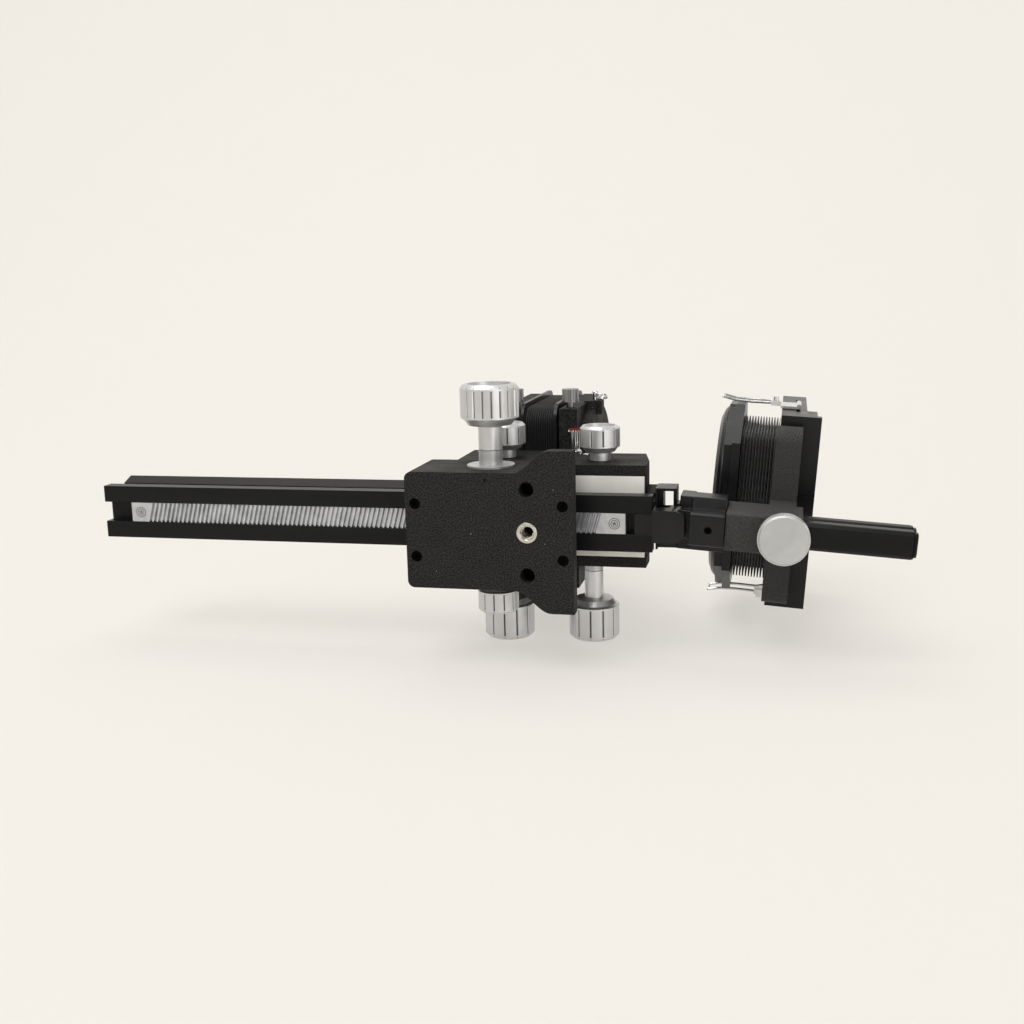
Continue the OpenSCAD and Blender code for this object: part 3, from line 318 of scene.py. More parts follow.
@dataclass(frozen=True)
class Finish:
    """A surface finish: two tones mixed by grain, a roughness range, a bump, specks of dust and, on
    knobs, painted shade in the grip's grooves.
    """

    name: str
    dark: tuple[float, float, float]
    light: tuple[float, float, float]
    metallic: float
    rough: tuple[float, float]
    fine: float = 1800.0
    slow: float = 60.0
    bump: float = 0.0
    depth: float = 0.00005
    dust: float = 0.0
    stretch: tuple[float, float, float] = (1.0, 1.0, 1.0)
    tone_from_fine: bool = False
    spread: float = 0.15
    specular: float = 0.5
    coat: float = 0.0
    transmission: float = 0.0
    sheen: float = 0.0
    flutes: int = 0
    axis: tuple[float, float] = (0.0, 0.0)
    grip: float = 0.0

    def build(self) -> bpy.types.Material:
        """Make the finish's material.

        Returns:
            A node material with object-space texture.
        """
        material = bpy.data.materials.new(self.name)
        material.use_nodes = True
        nodes, links = material.node_tree.nodes, material.node_tree.links
        shader = nodes["Principled BSDF"]
        shader.inputs["Metallic"].default_value = self.metallic
        shader.inputs["Specular IOR Level"].default_value = self.specular
        shader.inputs["Coat Weight"].default_value = self.coat
        shader.inputs["Coat Roughness"].default_value = COAT_ROUGHNESS
        shader.inputs["Transmission Weight"].default_value = self.transmission
        shader.inputs["Sheen Weight"].default_value = self.sheen
        shader.inputs["Sheen Roughness"].default_value = SHEEN_ROUGHNESS
        place = nodes.new("ShaderNodeTexCoord")
        turn = nodes.new("ShaderNodeMapping")
        turn.inputs["Scale"].default_value = self.stretch
        links.new(place.outputs["Object"], turn.inputs["Vector"])
        grain = nodes.new("ShaderNodeGroup")
        grain.node_tree = SHELF.grain()
        grain.inputs["Fine"].default_value = self.fine
        grain.inputs["Slow"].default_value = self.slow
        links.new(turn.outputs["Vector"], grain.inputs["Place"])
        source = "Height" if self.tone_from_fine else "Drift"
        tone = nodes.new("ShaderNodeValToRGB")
        tone.color_ramp.elements[0].position = 0.5 - self.spread
        tone.color_ramp.elements[0].color = (*self.dark, 1.0)
        tone.color_ramp.elements[1].position = 0.5 + self.spread
        tone.color_ramp.elements[1].color = (*self.light, 1.0)
        links.new(grain.outputs[source], tone.inputs["Fac"])
        colour = tone.outputs["Color"]
        if self.dust > 0:
            specks = nodes.new("ShaderNodeGroup")
            specks.node_tree = SHELF.dust()
            specks.inputs["Size"].default_value = self.dust
            links.new(place.outputs["Object"], specks.inputs["Place"])
            blend = nodes.new("ShaderNodeMix")
            blend.data_type = "RGBA"
            blend.inputs["B"].default_value = DUST_TONE
            links.new(specks.outputs["Mask"], blend.inputs["Factor"])
            links.new(colour, blend.inputs["A"])
            colour = blend.outputs["Result"]
        # Painted shade: darken the bands of the grip's grooves, where shade would fall.
        if self.flutes:
            shade = nodes.new("ShaderNodeGroup")
            shade.node_tree = SHELF.flutes()
            shade.inputs["Count"].default_value = self.flutes
            shade.inputs["Grip"].default_value = self.grip
            centre = nodes.new("ShaderNodeMapping")
            centre.inputs["Location"].default_value = (-self.axis[0], 0.0, -self.axis[1])
            links.new(place.outputs["Object"], centre.inputs["Vector"])
            links.new(centre.outputs["Vector"], shade.inputs["Place"])
            groove_shade = nodes.new("ShaderNodeMix")
            groove_shade.data_type = "RGBA"
            groove_shade.inputs["B"].default_value = FLUTE_SHADE_TONE
            links.new(shade.outputs["Mask"], groove_shade.inputs["Factor"])
            links.new(colour, groove_shade.inputs["A"])
            colour = groove_shade.outputs["Result"]
        links.new(colour, shader.inputs["Base Color"])
        gloss = nodes.new("ShaderNodeMapRange")
        gloss.inputs["To Min"].default_value = self.rough[0]
        gloss.inputs["To Max"].default_value = self.rough[1]
        gloss.inputs["From Min"].default_value = 0.3
        gloss.inputs["From Max"].default_value = 0.7
        links.new(grain.outputs["Drift"], gloss.inputs["Value"])
        links.new(gloss.outputs["Result"], shader.inputs["Roughness"])
        if self.bump > 0:
            bump = nodes.new("ShaderNodeBump")
            bump.inputs["Strength"].default_value = self.bump
            bump.inputs["Distance"].default_value = self.depth
            links.new(grain.outputs["Height"], bump.inputs["Height"])
            links.new(bump.outputs["Normal"], shader.inputs["Normal"])
        return material


CRINKLE = Finish(
    "crinkle_paint", dark=(0.001, 0.001, 0.001), light=(0.024, 0.0238, 0.0234), metallic=0.0,
    rough=(0.55, 0.75), fine=1600.0, bump=1.0, depth=0.00025, dust=0.034, tone_from_fine=True,
    spread=0.09, specular=0.2,
)
GREY_CRINKLE = Finish(
    "grey_crinkle_paint", dark=(0.014, 0.0135, 0.013), light=(0.044, 0.043, 0.042), metallic=0.0,
    rough=(0.55, 0.75), fine=2200.0, bump=0.9, depth=0.00018, dust=0.02, tone_from_fine=True,
    spread=0.12, specular=0.3,
)
ANODISED = Finish(
    "black_anodised", dark=(0.005, 0.005, 0.0055), light=(0.008, 0.008, 0.0085), metallic=0.0,
    rough=(0.3, 0.4), fine=3000.0, bump=0.1, dust=0.02, stretch=(0.1, 1.0, 1.0), specular=0.16,
)
SATIN_BLACK = Finish(
    "satin_black_paint", dark=(0.006, 0.006, 0.0065), light=(0.01, 0.01, 0.011), metallic=0.0,
    rough=(0.26, 0.36), fine=1500.0, bump=0.12, dust=0.02, specular=0.24,
)
ALUMINIUM = Finish(
    "satin_aluminium", dark=(0.64, 0.64, 0.645), light=(0.7, 0.7, 0.705), metallic=0.85,
    rough=(0.32, 0.42), fine=3200.0, slow=90.0, bump=0.15, depth=0.00002,
)
DULL_ALUMINIUM = Finish(
    "dull_aluminium", dark=(0.5, 0.5, 0.505), light=(0.6, 0.6, 0.605), metallic=0.85,
    rough=(0.36, 0.46), fine=2800.0, slow=120.0, bump=0.3, depth=0.00003,
)
MATT_ALUMINIUM = Finish(
    "blasted_aluminium", dark=(0.46, 0.46, 0.463), light=(0.52, 0.52, 0.523), metallic=0.6,
    rough=(0.46, 0.56), fine=2400.0, slow=120.0, bump=0.35, depth=0.00004,
)
CHROME = Finish(
    "bright_chrome", dark=(0.72, 0.72, 0.73), light=(0.82, 0.82, 0.83), metallic=1.0,
    rough=(0.07, 0.14), slow=90.0,
)
PLATED = Finish(
    "plated_sheet", dark=(0.66, 0.67, 0.68), light=(0.78, 0.79, 0.8), metallic=0.85,
    rough=(0.18, 0.3), slow=150.0,
)
NICKEL = Finish(
    "worn_nickel", dark=(0.5, 0.47, 0.42), light=(0.72, 0.69, 0.62), metallic=1.0,
    rough=(0.2, 0.34), slow=300.0,
)
RACK = Finish(
    "milled_steel", dark=(0.5, 0.51, 0.53), light=(0.66, 0.67, 0.69), metallic=0.9,
    rough=(0.3, 0.42), fine=2000.0, slow=180.0, bump=0.15, depth=0.00003,
)
GIB = Finish(
    "ground_plate", dark=(0.78, 0.76, 0.71), light=(0.85, 0.83, 0.78), metallic=0.1,
    rough=(0.35, 0.5), fine=1500.0, slow=120.0, bump=0.1, stretch=(1.0, 0.2, 1.0),
)
CLOTH = Finish(
    "pleat_cloth", dark=(0.005, 0.005, 0.0055), light=(0.015, 0.015, 0.0155), metallic=0.0,
    rough=(0.42, 0.58), fine=4200.0, bump=0.25, depth=0.00006, tone_from_fine=True, specular=0.3,
    sheen=0.12,
)
OPAL = Finish(
    "opal_screen", dark=(0.84, 0.84, 0.82), light=(0.9, 0.9, 0.88), metallic=0.0, rough=(0.3, 0.4),
    transmission=0.25,
)
RED = Finish(
    "red_enamel", dark=(0.12, 0.012, 0.012), light=(0.18, 0.02, 0.018), metallic=0.0,
    rough=(0.2, 0.3), coat=0.5,
)
BRASS = Finish(
    "turned_brass", dark=(0.5, 0.36, 0.13), light=(0.62, 0.46, 0.2), metallic=1.0,
    rough=(0.25, 0.4),
)
# Painted shade: dark marks for the rack screws' turned rings and cross recesses, where shade falls in
# the grooves.
RECESS_MARK_SHADE = Finish(
    "black_oxide", dark=(0.018, 0.018, 0.02), light=(0.03, 0.03, 0.032), metallic=0.4,
    rough=(0.35, 0.5), fine=2000.0, bump=0.1,
)
# Black steel screw heads taken down to pure black with almost no specular: the darkness is partly the
# steel and partly painted shade of the recesses they sit in.
SHADED_BLACK_STEEL = Finish(
    "sunk_black_steel", dark=(0.0, 0.0, 0.0), light=(0.002, 0.002, 0.002), metallic=0.0,
    rough=(0.35, 0.5), fine=2000.0, bump=0.1, specular=0.03,
)
GREY_METAL = Finish(
    "grey_knurled_metal", dark=(0.26, 0.26, 0.265), light=(0.34, 0.34, 0.345), metallic=0.85,
    rough=(0.3, 0.4), fine=2400.0, bump=0.2, depth=0.00003,
)

NODE_FINISH: dict[Finish, tuple[str, ...]] = {
    CRINKLE: ("carriage_block", "rear_saddle", "rear_upright", "front_saddle", "front_upright"),
    GREY_CRINKLE: ("copier_casting",),
    ANODISED: ("rail", "copier_rod", "camera_ring"),
    SATIN_BLACK: ("adapter", "copier_arm", "film_stage", "gate_door", "copier_plate", "copier_ring",
                  "bellows_rear_plate", "bellows_front_plate"),
    DULL_ALUMINIUM: ("carriage_bush", "rear_bush", "front_bush"),
    MATT_ALUMINIUM: ("copier_thumb_screw",),
    CHROME: ("release_socket", "lens_ring", "swivel_pin"),
    NICKEL: ("tripod_bushing",),
    RACK: ("focus_rack", "standard_rack", "rack_screws", "carriage_pinion", "rear_pinion",
           "front_pinion"),
    GIB: ("rear_gib_upper", "rear_gib_lower", "front_gib_upper", "front_gib_lower"),
    PLATED: ("cradle_top", "cradle_bottom"),
    CLOTH: ("main_bellows", "copier_bellows"),
    OPAL: ("opal_screen",),
    RED: ("release_ring",),
    BRASS: ("carriage_lock_pad",),
    # Painted recess shade on the sunk screws.
    SHADED_BLACK_STEEL: ("block_screws", "arm_set_screw"),
    GREY_METAL: ("camera_ring_screw", "lens_board_screw"),
}
# Flute counts for the painted shade laid in each knob's grip grooves.
KNOB_FLUTES: dict[str, int] = {
    "carriage_knob": 20, "rear_knob": 12, "front_knob": 12,
    "carriage_lock_knob": 12, "rear_lock_knob": 10, "front_lock_knob": 10,
}
EDGE_MM: dict[str, float] = {
    "carriage_block": 0.35, "rear_saddle": 0.6, "rear_upright": 0.6, "front_saddle": 0.6,
    "front_upright": 0.6, "copier_casting": 1.0, "adapter": 0.8, "copier_arm": 1.3,
    "film_stage": 0.4, "gate_door": 0.35, "copier_plate": 0.35, "rail": 0.25,
    "copier_rod": 1.1, "tripod_bushing": 0.4,
}


@dataclass
class Paint:
    """The finishes on hand and the CAD nodes that they go on."""

    made: dict[str, bpy.types.Material] = field(default_factory=dict)

    def get(self, finish: Finish) -> bpy.types.Material:
        """Return a finish's material, built at its first use."""
        if finish.name not in self.made:
            self.made[finish.name] = finish.build()
        return self.made[finish.name]

    def put(self, piece: bpy.types.Object, finish: Finish) -> None:
        """Give a piece one finish all over."""
        piece.data.materials.clear()
        piece.data.materials.append(self.get(finish))

    def dress_nodes(self) -> None:
        """Give each CAD node its finish, and the cast and milled ones a small lit edge."""
        for finish, names in NODE_FINISH.items():
            for name in names:
                self.put(bpy.data.objects[name], finish)
        # Each knob gets its own aluminium with painted shade along its grip grooves.
        for name, count in KNOB_FLUTES.items():
            low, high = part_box(name)
            middle = ((low[0] + high[0]) / 2, (low[2] + high[2]) / 2)
            own = replace(ALUMINIUM, name=f"{name}_aluminium", flutes=count, axis=middle,
                          grip=(high[0] - low[0]) / 2)
            self.put(bpy.data.objects[name], own)
        for name, edge in EDGE_MM.items():
            node = bpy.data.objects[name]
            weld = node.modifiers.new("weld", "WELD")
            weld.merge_threshold = 0.00001
            bevel = node.modifiers.new("edge", "BEVEL")
            bevel.width = edge * MM
            bevel.segments = EDGE_SEGMENTS
            bevel.limit_method = "ANGLE"
            bevel.angle_limit = math.radians(SHARP_EDGE_DEG)
            bevel.harden_normals = True
            bevel.use_clamp_overlap = True


@dataclass
class PleatedBellows:
    """A cloth bellows folded between two frames out of one rounded square."""

    name: str
    node: str
    bodies: tuple[str, str]
    half_y: float
    half_z: float
    corner: float
    deep: float
    pleats: int
    start: Vector
    end: Vector
    crest: float = 0.34
    valley: float = 0.1
    cloth: float = 0.22 * MM

    def build(self, paint: Paint) -> bpy.types.Object:
        """Fold the bellows and give it cloth.

        Args:
            paint: where finishes come from.

        Returns:
            The finished bellows.
        """
        piece = rounded_outline(self.name, self.half_y, self.half_z, self.corner)
        length = (self.end - self.start).length
        step = length / self.pleats
        crest = step * self.crest
        valley = step * self.valley
        slope = (step - crest - valley) / 2
        shrink_y = (self.half_y - self.deep) / self.half_y
        shrink_z = (self.half_z - self.deep) / self.half_z
        for _ in range(self.pleats):
            self._fold(crest / 2, 1.0, 1.0)
            self._fold(slope, shrink_y, shrink_z)
            self._fold(valley, 1.0, 1.0)
            self._fold(slope, 1.0 / shrink_y, 1.0 / shrink_z)
            self._fold(crest / 2, 1.0, 1.0)
        bpy.ops.object.mode_set(mode="OBJECT")
        wall = piece.modifiers.new("wall", "SOLIDIFY")
        wall.thickness = self.cloth
        wall.offset = -1.0
        axis = (self.end - self.start).normalized()
        turn = Matrix.Rotation(math.atan2(axis.y, axis.x), 4, "Z")
        piece.matrix_world = Matrix.Translation(self.start) @ turn
        settle(piece, 25.0)
        paint.put(piece, CLOTH)
        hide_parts(self.node)
        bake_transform(piece)
        log.info("%s: %d pleats", self.name, self.pleats)
        return piece

    def _fold(self, along: float, scale_y: float, scale_z: float) -> None:
        """Extrude the open edge once along the bellows and scale it about the optical axis.

        Args:
            along: how far the new ring lies from the last.
            scale_y: its width against the last ring's.
            scale_z: its height against the last ring's.
        """
        bpy.ops.mesh.extrude_region_move(TRANSFORM_OT_translate={"value": (along, 0.0, 0.0)})
        if scale_y != 1.0:
            bpy.ops.transform.resize(value=(1.0, scale_y, scale_z), center_override=(0.0, 0.0, 0.0))


@dataclass
class SlottedScrew:
    """A bright cheese-head screw with rounded rim and a cut slot."""

    name: str
    body: str
    at: Vector
    facing: Vector
    radius: float
    height: float
    finish: Finish = CHROME
    slot_name: str = "bright"

    def build(self, paint: Paint) -> bpy.types.Object:
        """Turn the head, cut its slot and stand it on its seat."""
        clear_selection()
        bpy.ops.mesh.primitive_cylinder_add(vertices=32, radius=self.radius, depth=self.height)
        piece = name_active(self.name)
        pick_faces(piece, Vector((0, 0, 1)))
        bpy.ops.mesh.bevel(offset=self.height * 0.25, segments=3, affect="EDGES")
        bpy.ops.mesh.select_all(action="SELECT")
        half = self.radius * 0.16
        for place in (-half, half):
            bpy.ops.mesh.bisect(plane_co=(0, place, 0), plane_no=(0, 1, 0))
            bpy.ops.mesh.select_all(action="SELECT")
        bpy.ops.object.mode_set(mode="OBJECT")
        clear_picks(piece)
        for face in piece.data.polygons:
            face.select = face.normal.z > 0.9 and abs(face.center.y) < half
        edit(Work.FACE)
        bpy.ops.mesh.extrude_region_move(TRANSFORM_OT_translate={"value": (0, 0, -self.height * 0.35)})
        bpy.ops.object.mode_set(mode="OBJECT")
        turn = Vector((0, 0, 1)).rotation_difference(self.facing.normalized()).to_matrix().to_4x4()
        piece.matrix_world = Matrix.Translation(self.at) @ turn
        settle(piece)
        paint.put(piece, self.finish)
        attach(piece, self.body)
        return piece


@dataclass
class SplitRing:
    """A split ring of spring wire hanging on a chrome pin in the lens head's lug."""

    body: str
    at: Vector
    ring_radius: float = 3.1 * MM
    wire: float = 0.32 * MM
    pin_radius: float = 1.1 * MM
    pin_length: float = 6.0 * MM
    coil_deg: float = 690.0
    coil_steps: int = 72
    coil_gap: float = 4.2
    lean_deg: float = 72.0
    head_share: float = 1.5

    def build(self, paint: Paint) -> None:
        """Wind the ring, turn the pin and hang the one on the other."""
        clear_selection()
        bpy.ops.mesh.primitive_circle_add(vertices=10, radius=self.wire, rotation=(math.pi / 2, 0, 0),
                                          location=(self.ring_radius, 0, 0))
        ring = name_active("release_split_ring")
        bpy.ops.object.transform_apply(location=True, rotation=True, scale=True)
        coil = ring.modifiers.new("coil", "SCREW")
        coil.angle = math.radians(self.coil_deg)
        coil.screw_offset = self.wire * self.coil_gap
        coil.steps = self.coil_steps
        coil.render_steps = self.coil_steps
        middle = self.at + Vector((self.ring_radius, -self.wire * 2, 0))
        lean = Matrix.Rotation(math.radians(self.lean_deg), 4, "X")
        ring.matrix_world = Matrix.Translation(middle) @ lean
        settle(ring, 60.0)
        paint.put(ring, CHROME)
        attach(ring, self.body)
        clear_selection()
        bpy.ops.mesh.primitive_cylinder_add(vertices=24, radius=self.pin_radius, depth=self.pin_length)
        pin = name_active("release_pin")
        pick_faces(pin, Vector((0, 0, 1)))
        bpy.ops.mesh.inset(thickness=0.0)
        bpy.ops.transform.resize(value=(self.head_share, self.head_share, 1.0),
                                 center_override=(0, 0, 0))
        bpy.ops.mesh.extrude_region_move(TRANSFORM_OT_translate={"value": (0, 0, self.pin_radius)})
        bpy.ops.mesh.bevel(offset=self.pin_radius * 0.4, segments=3, affect="EDGES")
        bpy.ops.object.mode_set(mode="OBJECT")
        pin.matrix_world = Matrix.Translation(self.at) @ Matrix.Rotation(math.pi / 2, 4, "X")
        settle(pin)
        paint.put(pin, CHROME)
        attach(pin, self.body)


@dataclass
class BushingThread:
    """The thread cut in the tripod bushing, wound as one ridge along the bore."""

    body: str = "carriage"
    radius: float = 3.03 * MM
    ridge: float = 0.4 * MM
    pitch: float = 1.27 * MM
    turns: int = 7
    start_z: float = 0.9 * MM
    steps: int = 28

    def build(self, paint: Paint) -> None:
        """Wind a three-sided ridge up the bore and close its ends."""
        clear_selection()
        place = (self.radius - self.ridge / 3, 0.0, 0.0)
        bpy.ops.mesh.primitive_circle_add(vertices=3, radius=self.ridge, location=place,
                                          rotation=(math.pi / 2, 0.0, 0.0))
        piece = name_active("bushing_thread")
        bpy.ops.object.transform_apply(location=True, rotation=True, scale=True)
        wind = piece.modifiers.new("wind", "SCREW")
        wind.angle = math.tau
        wind.screw_offset = self.pitch
        wind.iterations = self.turns
        wind.steps = self.steps
        wind.render_steps = self.steps
        piece.location = (0.0, 0.0, self.start_z)
        settle(piece, 30.0)
        paint.put(piece, NICKEL)
        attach(piece, self.body)


@dataclass
class RackHeads:
    """The turned faces of the focusing rack's screws: two rings and a cross recess each, drawn as dark
    marks of painted shade.
    """

    body: str
    node: str = "rack_screws"
    radius: float = 2.7 * MM
    thickness: float = 0.12 * MM
    from_end: float = 2.8 * MM
    proud: float = 0.08 * MM
    rings: tuple[float, ...] = (2.45 * MM, 1.55 * MM)
    line: float = 0.13 * MM
    line_proud: float = 0.06 * MM
    arm: float = 0.95 * MM
    arm_depth: float = 0.05 * MM
    arm_step: float = 0.01 * MM
    cross_turn: float = 0.4
    sides: int = 40

    def build(self, paint: Paint) -> None:
        """Set one face on each of the lower rack's screws."""
        low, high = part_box(self.node)
        face_z = low[2] - self.proud
        for index, x in enumerate((low[0] + self.from_end, high[0] - self.from_end)):
            clear_selection()
            bpy.ops.mesh.primitive_cylinder_add(vertices=self.sides, radius=self.radius,
                                                depth=self.thickness)
            name = f"rack_head_{index}"
            self._finish(name, Vector((x, 0.0, face_z)), paint, RACK)
            # Painted shade: a dark ring for each turned groove.
            for number, ring in enumerate(self.rings):
                clear_selection()
                bpy.ops.mesh.primitive_torus_add(major_radius=ring, minor_radius=self.line,
                                                 major_segments=self.sides, minor_segments=6)
                place = Vector((x, 0.0, face_z - self.line_proud))
                self._finish(f"{name}_ring_{number}", place, paint, RECESS_MARK_SHADE)
            # Painted shade: two dark bars for the cross recess.
            for number, turn in enumerate((self.cross_turn, self.cross_turn + math.pi / 2)):
                clear_selection()
                bpy.ops.mesh.primitive_cube_add(size=2.0)
                bar = bpy.context.object
                bar.scale = (self.arm, self.line * 1.4, self.arm_depth)
                bar.rotation_euler = (0.0, 0.0, turn)
                place = Vector((x, 0.0, face_z - self.line_proud - number * self.arm_step))
                self._finish(f"{name}_cut_{number}", place, paint, RECESS_MARK_SHADE)

    def _finish(
        self, name: str, place: Vector, paint: Paint, finish: Finish,
    ) -> None:
        """Name and place the active piece, give it its finish and let it ride with the rail.

        Args:
            name: the piece's name.
            place: where its centre goes.
            paint: where finishes come from.
            finish: its finish.
        """
        piece = name_active(name)
        piece.location = place
        settle(piece)
        paint.put(piece, finish)
        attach(piece, self.body)


@dataclass
class KnurledRim:
    """The fine knurl round the thumb screw's edge."""

    body: str
    node: str = "copier_thumb_screw"
    teeth: int = 96
    stand_out: float = 0.28 * MM
    inside: float = 1.6 * MM
    depth: float = 5.0 * MM
    from_face: float = 0.7 * MM
    clear: float = 0.02 * MM

    def build(self, paint: Paint) -> None:
        """Turn a thin ring round the screw's grip and draw every second edge outwards."""
        low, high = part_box(self.node)
        radius = (high[1] - low[1]) / 2
        centre = Vector(((low[0] + high[0]) / 2, (low[1] + high[1]) / 2, 0.0))
        front = low[2] + self.from_face
        clear_selection()
        bpy.ops.mesh.primitive_cylinder_add(vertices=self.teeth * 2, radius=radius + self.clear,
                                            depth=self.depth, end_fill_type="NOTHING")
        piece = name_active("thumb_knurl")
        clear_picks(piece)
        step = math.pi / self.teeth
        for vertex in piece.data.vertices:
            vertex.select = round(math.atan2(vertex.co.y, vertex.co.x) / step) % 2 == 0
        edit(Work.VERT)
        grow = 1.0 + self.stand_out / radius
        bpy.ops.transform.resize(value=(grow, grow, 1.0), center_override=(0.0, 0.0, 0.0))
        bpy.ops.object.mode_set(mode="OBJECT")
        wall = piece.modifiers.new("wall", "SOLIDIFY")
        wall.thickness = self.inside
        wall.offset = -1.0
        piece.location = centre + Vector((0.0, 0.0, front + self.depth / 2))
        settle(piece, 20.0)
        paint.put(piece, ALUMINIUM)
        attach(piece, self.body)


@dataclass
class InnerSleeve:
    """A plain cloth collar inside the first folds, for when the front standard moves."""

    name: str
    body: str
    start: Vector
    length: float
    half_y: float
    half_z: float
    corner: float = 6 * MM
    cloth: float = 0.3 * MM

    def build(self, paint: Paint) -> None:
        """Extrude the collar from a rounded square and give it a wall."""
        piece = rounded_outline(self.name, self.half_y, self.half_z, self.corner)
        bpy.ops.mesh.extrude_region_move(TRANSFORM_OT_translate={"value": (self.length, 0.0, 0.0)})
        bpy.ops.object.mode_set(mode="OBJECT")
        wall = piece.modifiers.new("wall", "SOLIDIFY")
        wall.thickness = self.cloth
        piece.location = self.start
        settle(piece)
        paint.put(piece, CLOTH)
        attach(piece, self.body)


@dataclass(frozen=True)
class Lamp:
    """One soft area lamp."""

    name: str
    place: tuple[float, float, float]
    size: float
    power: float


LAMPS = (
    Lamp("key", (-0.6, -2.3, -1.2), 1.8, 54.0),
    Lamp("fill", (2.0, -0.6, -1.8), 1.8, 22.0),
    Lamp("rim", (-0.3, -1.6, 0.6), 1.2, 12.0),
)


@dataclass
class Studio:
    """Pale floor and backdrop, soft lamps, and the camera at the photograph's angle."""

    eye: Vector = field(default_factory=lambda: Vector((0.11111, -0.11185, -0.49661)))
    right: Vector = field(default_factory=lambda: Vector((0.97396577, 0.02325058, 0.22549966)))
    down: Vector = field(default_factory=lambda: Vector((0.02224137, 0.98012673, -0.19712158)))
    ahead: Vector = field(default_factory=lambda: Vector((-0.22560144, 0.1970051, 0.95409275)))
    focal_share: float = 1193.66 / 1024
    sensor_mm: float = 36.0
    paper: tuple[float, float, float] = (0.81, 0.785, 0.735)
    reach: float = 3.0
    back_z: float = 0.9
    sweep: float = 0.6
    own_share: float = 0.7
    glow: float = 0.98
    fill: float = 0.5
    target: Vector = field(default_factory=lambda: Vector((0.0, 0.0, 0.05)))

    def build(self) -> None:
        """Set up the stage, lamps, world and camera."""
        self._camera()
        self._stage()
        self._lamps()
        scene = bpy.context.scene
        scene.view_settings.view_transform = "Standard"

    def _camera(self) -> None:
        """Stand the camera where the photograph was taken from."""
        data = bpy.data.cameras.new("photo_camera")
        data.sensor_width = self.sensor_mm
        data.lens = self.focal_share * self.sensor_mm
        data.clip_start = 0.01
        data.clip_end = 20.0
        camera = bpy.data.objects.new("photo_camera", data)
        bpy.context.scene.collection.objects.link(camera)
        axes = Matrix((self.right, -self.down, -self.ahead)).transposed().to_4x4()
        camera.matrix_world = Matrix.Translation(self.eye) @ axes
        bpy.context.scene.camera = camera

    def _paper(self, name: str, emit: float) -> bpy.types.Material:
        """Make a matt paper that shows pale to the camera and is clear from behind.

        Args:
            name: the material's name.
            emit: how brightly it shows to camera and in reflections.

        Returns:
            The stage material.
        """
        material = bpy.data.materials.new(name)
        material.use_nodes = True
        nodes, links = material.node_tree.nodes, material.node_tree.links
        shader = nodes["Principled BSDF"]
        shader.inputs["Base Color"].default_value = (*self.paper, 1.0)
        shader.inputs["Roughness"].default_value = 0.9
        shader.inputs["Specular IOR Level"].default_value = 0.1
        clear = nodes.new("ShaderNodeBsdfTransparent")
        side = nodes.new("ShaderNodeNewGeometry")
        glow = nodes.new("ShaderNodeEmission")
        glow.inputs["Color"].default_value = (*self.paper, 1.0)
        glow.inputs["Strength"].default_value = emit
        rays = nodes.new("ShaderNodeLightPath")
        seen = nodes.new("ShaderNodeMath")
        seen.operation = "MAXIMUM"
        links.new(rays.outputs["Is Camera Ray"], seen.inputs[0])
        links.new(rays.outputs["Is Glossy Ray"], seen.inputs[1])
        share = nodes.new("ShaderNodeMath")
        share.operation = "MULTIPLY"
        share.inputs[1].default_value = self.own_share
        links.new(seen.outputs[0], share.inputs[0])
        lit = nodes.new("ShaderNodeMixShader")
        links.new(share.outputs[0], lit.inputs[0])
        links.new(shader.outputs[0], lit.inputs[1])
        links.new(glow.outputs[0], lit.inputs[2])
        both = nodes.new("ShaderNodeMixShader")
        links.new(side.outputs["Backfacing"], both.inputs[0])
        links.new(lit.outputs[0], both.inputs[1])
        links.new(clear.outputs[0], both.inputs[2])
        links.new(both.outputs[0], nodes["Material Output"].inputs["Surface"])
        return material

    def _stage(self) -> None:
        """Sweep one sheet of paper from under the object, as it was photographed, up behind it."""
        floor_y = cad_box[1][1] + 1.2 * MM
        clear_selection()
        bpy.ops.mesh.primitive_plane_add(size=2.0, rotation=(math.pi / 2, 0.0, 0.0))
        sheet = name_active("studio_sweep")
        sheet.scale = (self.reach, self.reach, 1.0)
        sheet.location = (0.0, floor_y, self.back_z - self.reach)
        bpy.ops.object.transform_apply(location=True, rotation=True, scale=True)
        clear_picks(sheet)
        for vertex in sheet.data.vertices:
            vertex.select = vertex.co.z > self.back_z - MM
        edit(Work.VERT)
        upwards = (0.0, -2.0 * self.reach, 0.0)
        bpy.ops.mesh.extrude_region_move(TRANSFORM_OT_translate={"value": upwards})
        bpy.ops.object.mode_set(mode="OBJECT")
        clear_picks(sheet)
        for vertex in sheet.data.vertices:
            vertex.select = vertex.co.z > self.back_z - MM and vertex.co.y > floor_y - MM
        edit(Work.EDGE)
        bpy.ops.mesh.bevel(offset=self.sweep, segments=20, affect="EDGES")
        bpy.ops.mesh.select_all(action="SELECT")
        bpy.ops.object.mode_set(mode="OBJECT")
        if sheet.data.polygons[0].normal.y > 0:
            edit(Work.FACE)
            bpy.ops.mesh.select_all(action="SELECT")
            bpy.ops.mesh.flip_normals()
            bpy.ops.object.mode_set(mode="OBJECT")
        bpy.ops.object.shade_smooth()
        sheet.data.materials.append(self._paper("studio_paper", self.glow))

    def _lamps(self) -> None:
        """Hang three soft lamps and set the world's fill."""
        for plan in LAMPS:
            data = bpy.data.lights.new(plan.name, "AREA")
            data.size = plan.size
            data.energy = plan.power
            lamp = bpy.data.objects.new(plan.name, data)
            bpy.context.scene.collection.objects.link(lamp)
            lamp.location = plan.place
            away = self.target - Vector(plan.place)
            lamp.rotation_euler = away.to_track_quat("-Z", "Y").to_euler()
        world = bpy.data.worlds.new("studio")
        world.use_nodes = True
        sky = world.node_tree.nodes["Background"]
        sky.inputs["Color"].default_value = (*self.paper, 1.0)
        sky.inputs["Strength"].default_value = self.fill
        bpy.context.scene.world = world


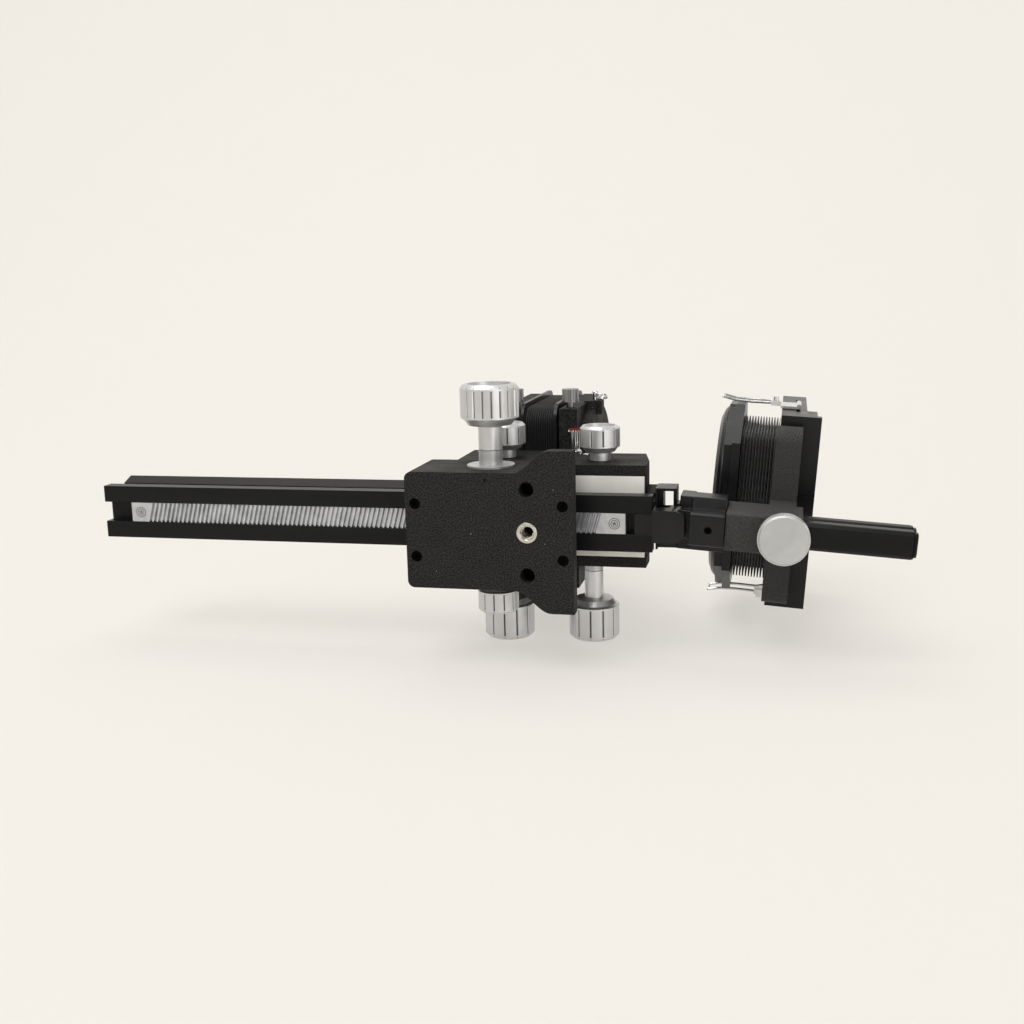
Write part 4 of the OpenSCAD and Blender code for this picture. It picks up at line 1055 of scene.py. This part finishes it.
@dataclass
class Product:
    """The whole object: CAD nodes dressed, soft parts folded and small trim added."""

    optical_axis: float = 118 * MM
    swivel: Vector = field(default_factory=lambda: Vector((61 * MM, 0.0, 0.0)))
    rest_deg: float = 4.0

    def turned(self, x: float, y: float, z: float) -> Vector:
        """Turn a point of the straight copier about its swivel pin, from millimetres to metres."""
        point = Vector((x, y, z)) * MM
        turn = Matrix.Rotation(math.radians(self.rest_deg), 3, "Z")
        return turn @ (point - self.swivel) + self.swivel

    def build(self, paint: Paint) -> None:
        """Build every piece in order."""
        paint.dress_nodes()
        axis = self.optical_axis
        PleatedBellows(
            "main_bellows_cloth", "main_bellows", ("rail", "rear_standard"),
            half_y=45 * MM, half_z=39 * MM, corner=8 * MM, deep=9.5 * MM, pleats=13,
            start=Vector((-3.3 * MM, 0, axis)), end=Vector((-17.7 * MM, 0, axis)),
            crest=0.2, valley=0.08,
        ).build(paint)
        InnerSleeve(
            "front_sleeve", "front_standard", start=Vector((-9.5 * MM, 0, axis)),
            length=6.4 * MM, half_y=34 * MM, half_z=28 * MM,
        ).build(paint)
        PleatedBellows(
            "copier_bellows_cloth", "copier_bellows", ("copier_carriage", "copier_front"),
            half_y=35.7 * MM, half_z=35.7 * MM, corner=3 * MM, deep=4 * MM, pleats=12,
            start=self.turned(103.6, 0, 118), end=self.turned(86.4, 0, 118),
            crest=0.36, valley=0.08,
        ).build(paint)
        SlottedScrew(
            "saddle_screw", "front_standard", at=Vector((14.7, -24.3, 70)) * MM,
            facing=Vector((0, -1, 0)), radius=1.5 * MM, height=1.2 * MM,
        ).build(paint)
        SlottedScrew(
            "head_screw", "front_standard", at=Vector((11.4, -43.6, 122)) * MM,
            facing=Vector((0, -1, 0)), radius=1.6 * MM, height=1.2 * MM,
        ).build(paint)
        SplitRing("front_standard", Vector((13.0, -47.0, 110)) * MM).build(paint)
        RackHeads("rail").build(paint)
        BushingThread().build(paint)
        KnurledRim("copier_thumb").build(paint)


def main() -> None:
    """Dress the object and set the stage."""
    logging.basicConfig(level=logging.INFO)
    paint = Paint()
    Product().build(paint)
    Studio().build()


if __name__ == "__main__":
    main()
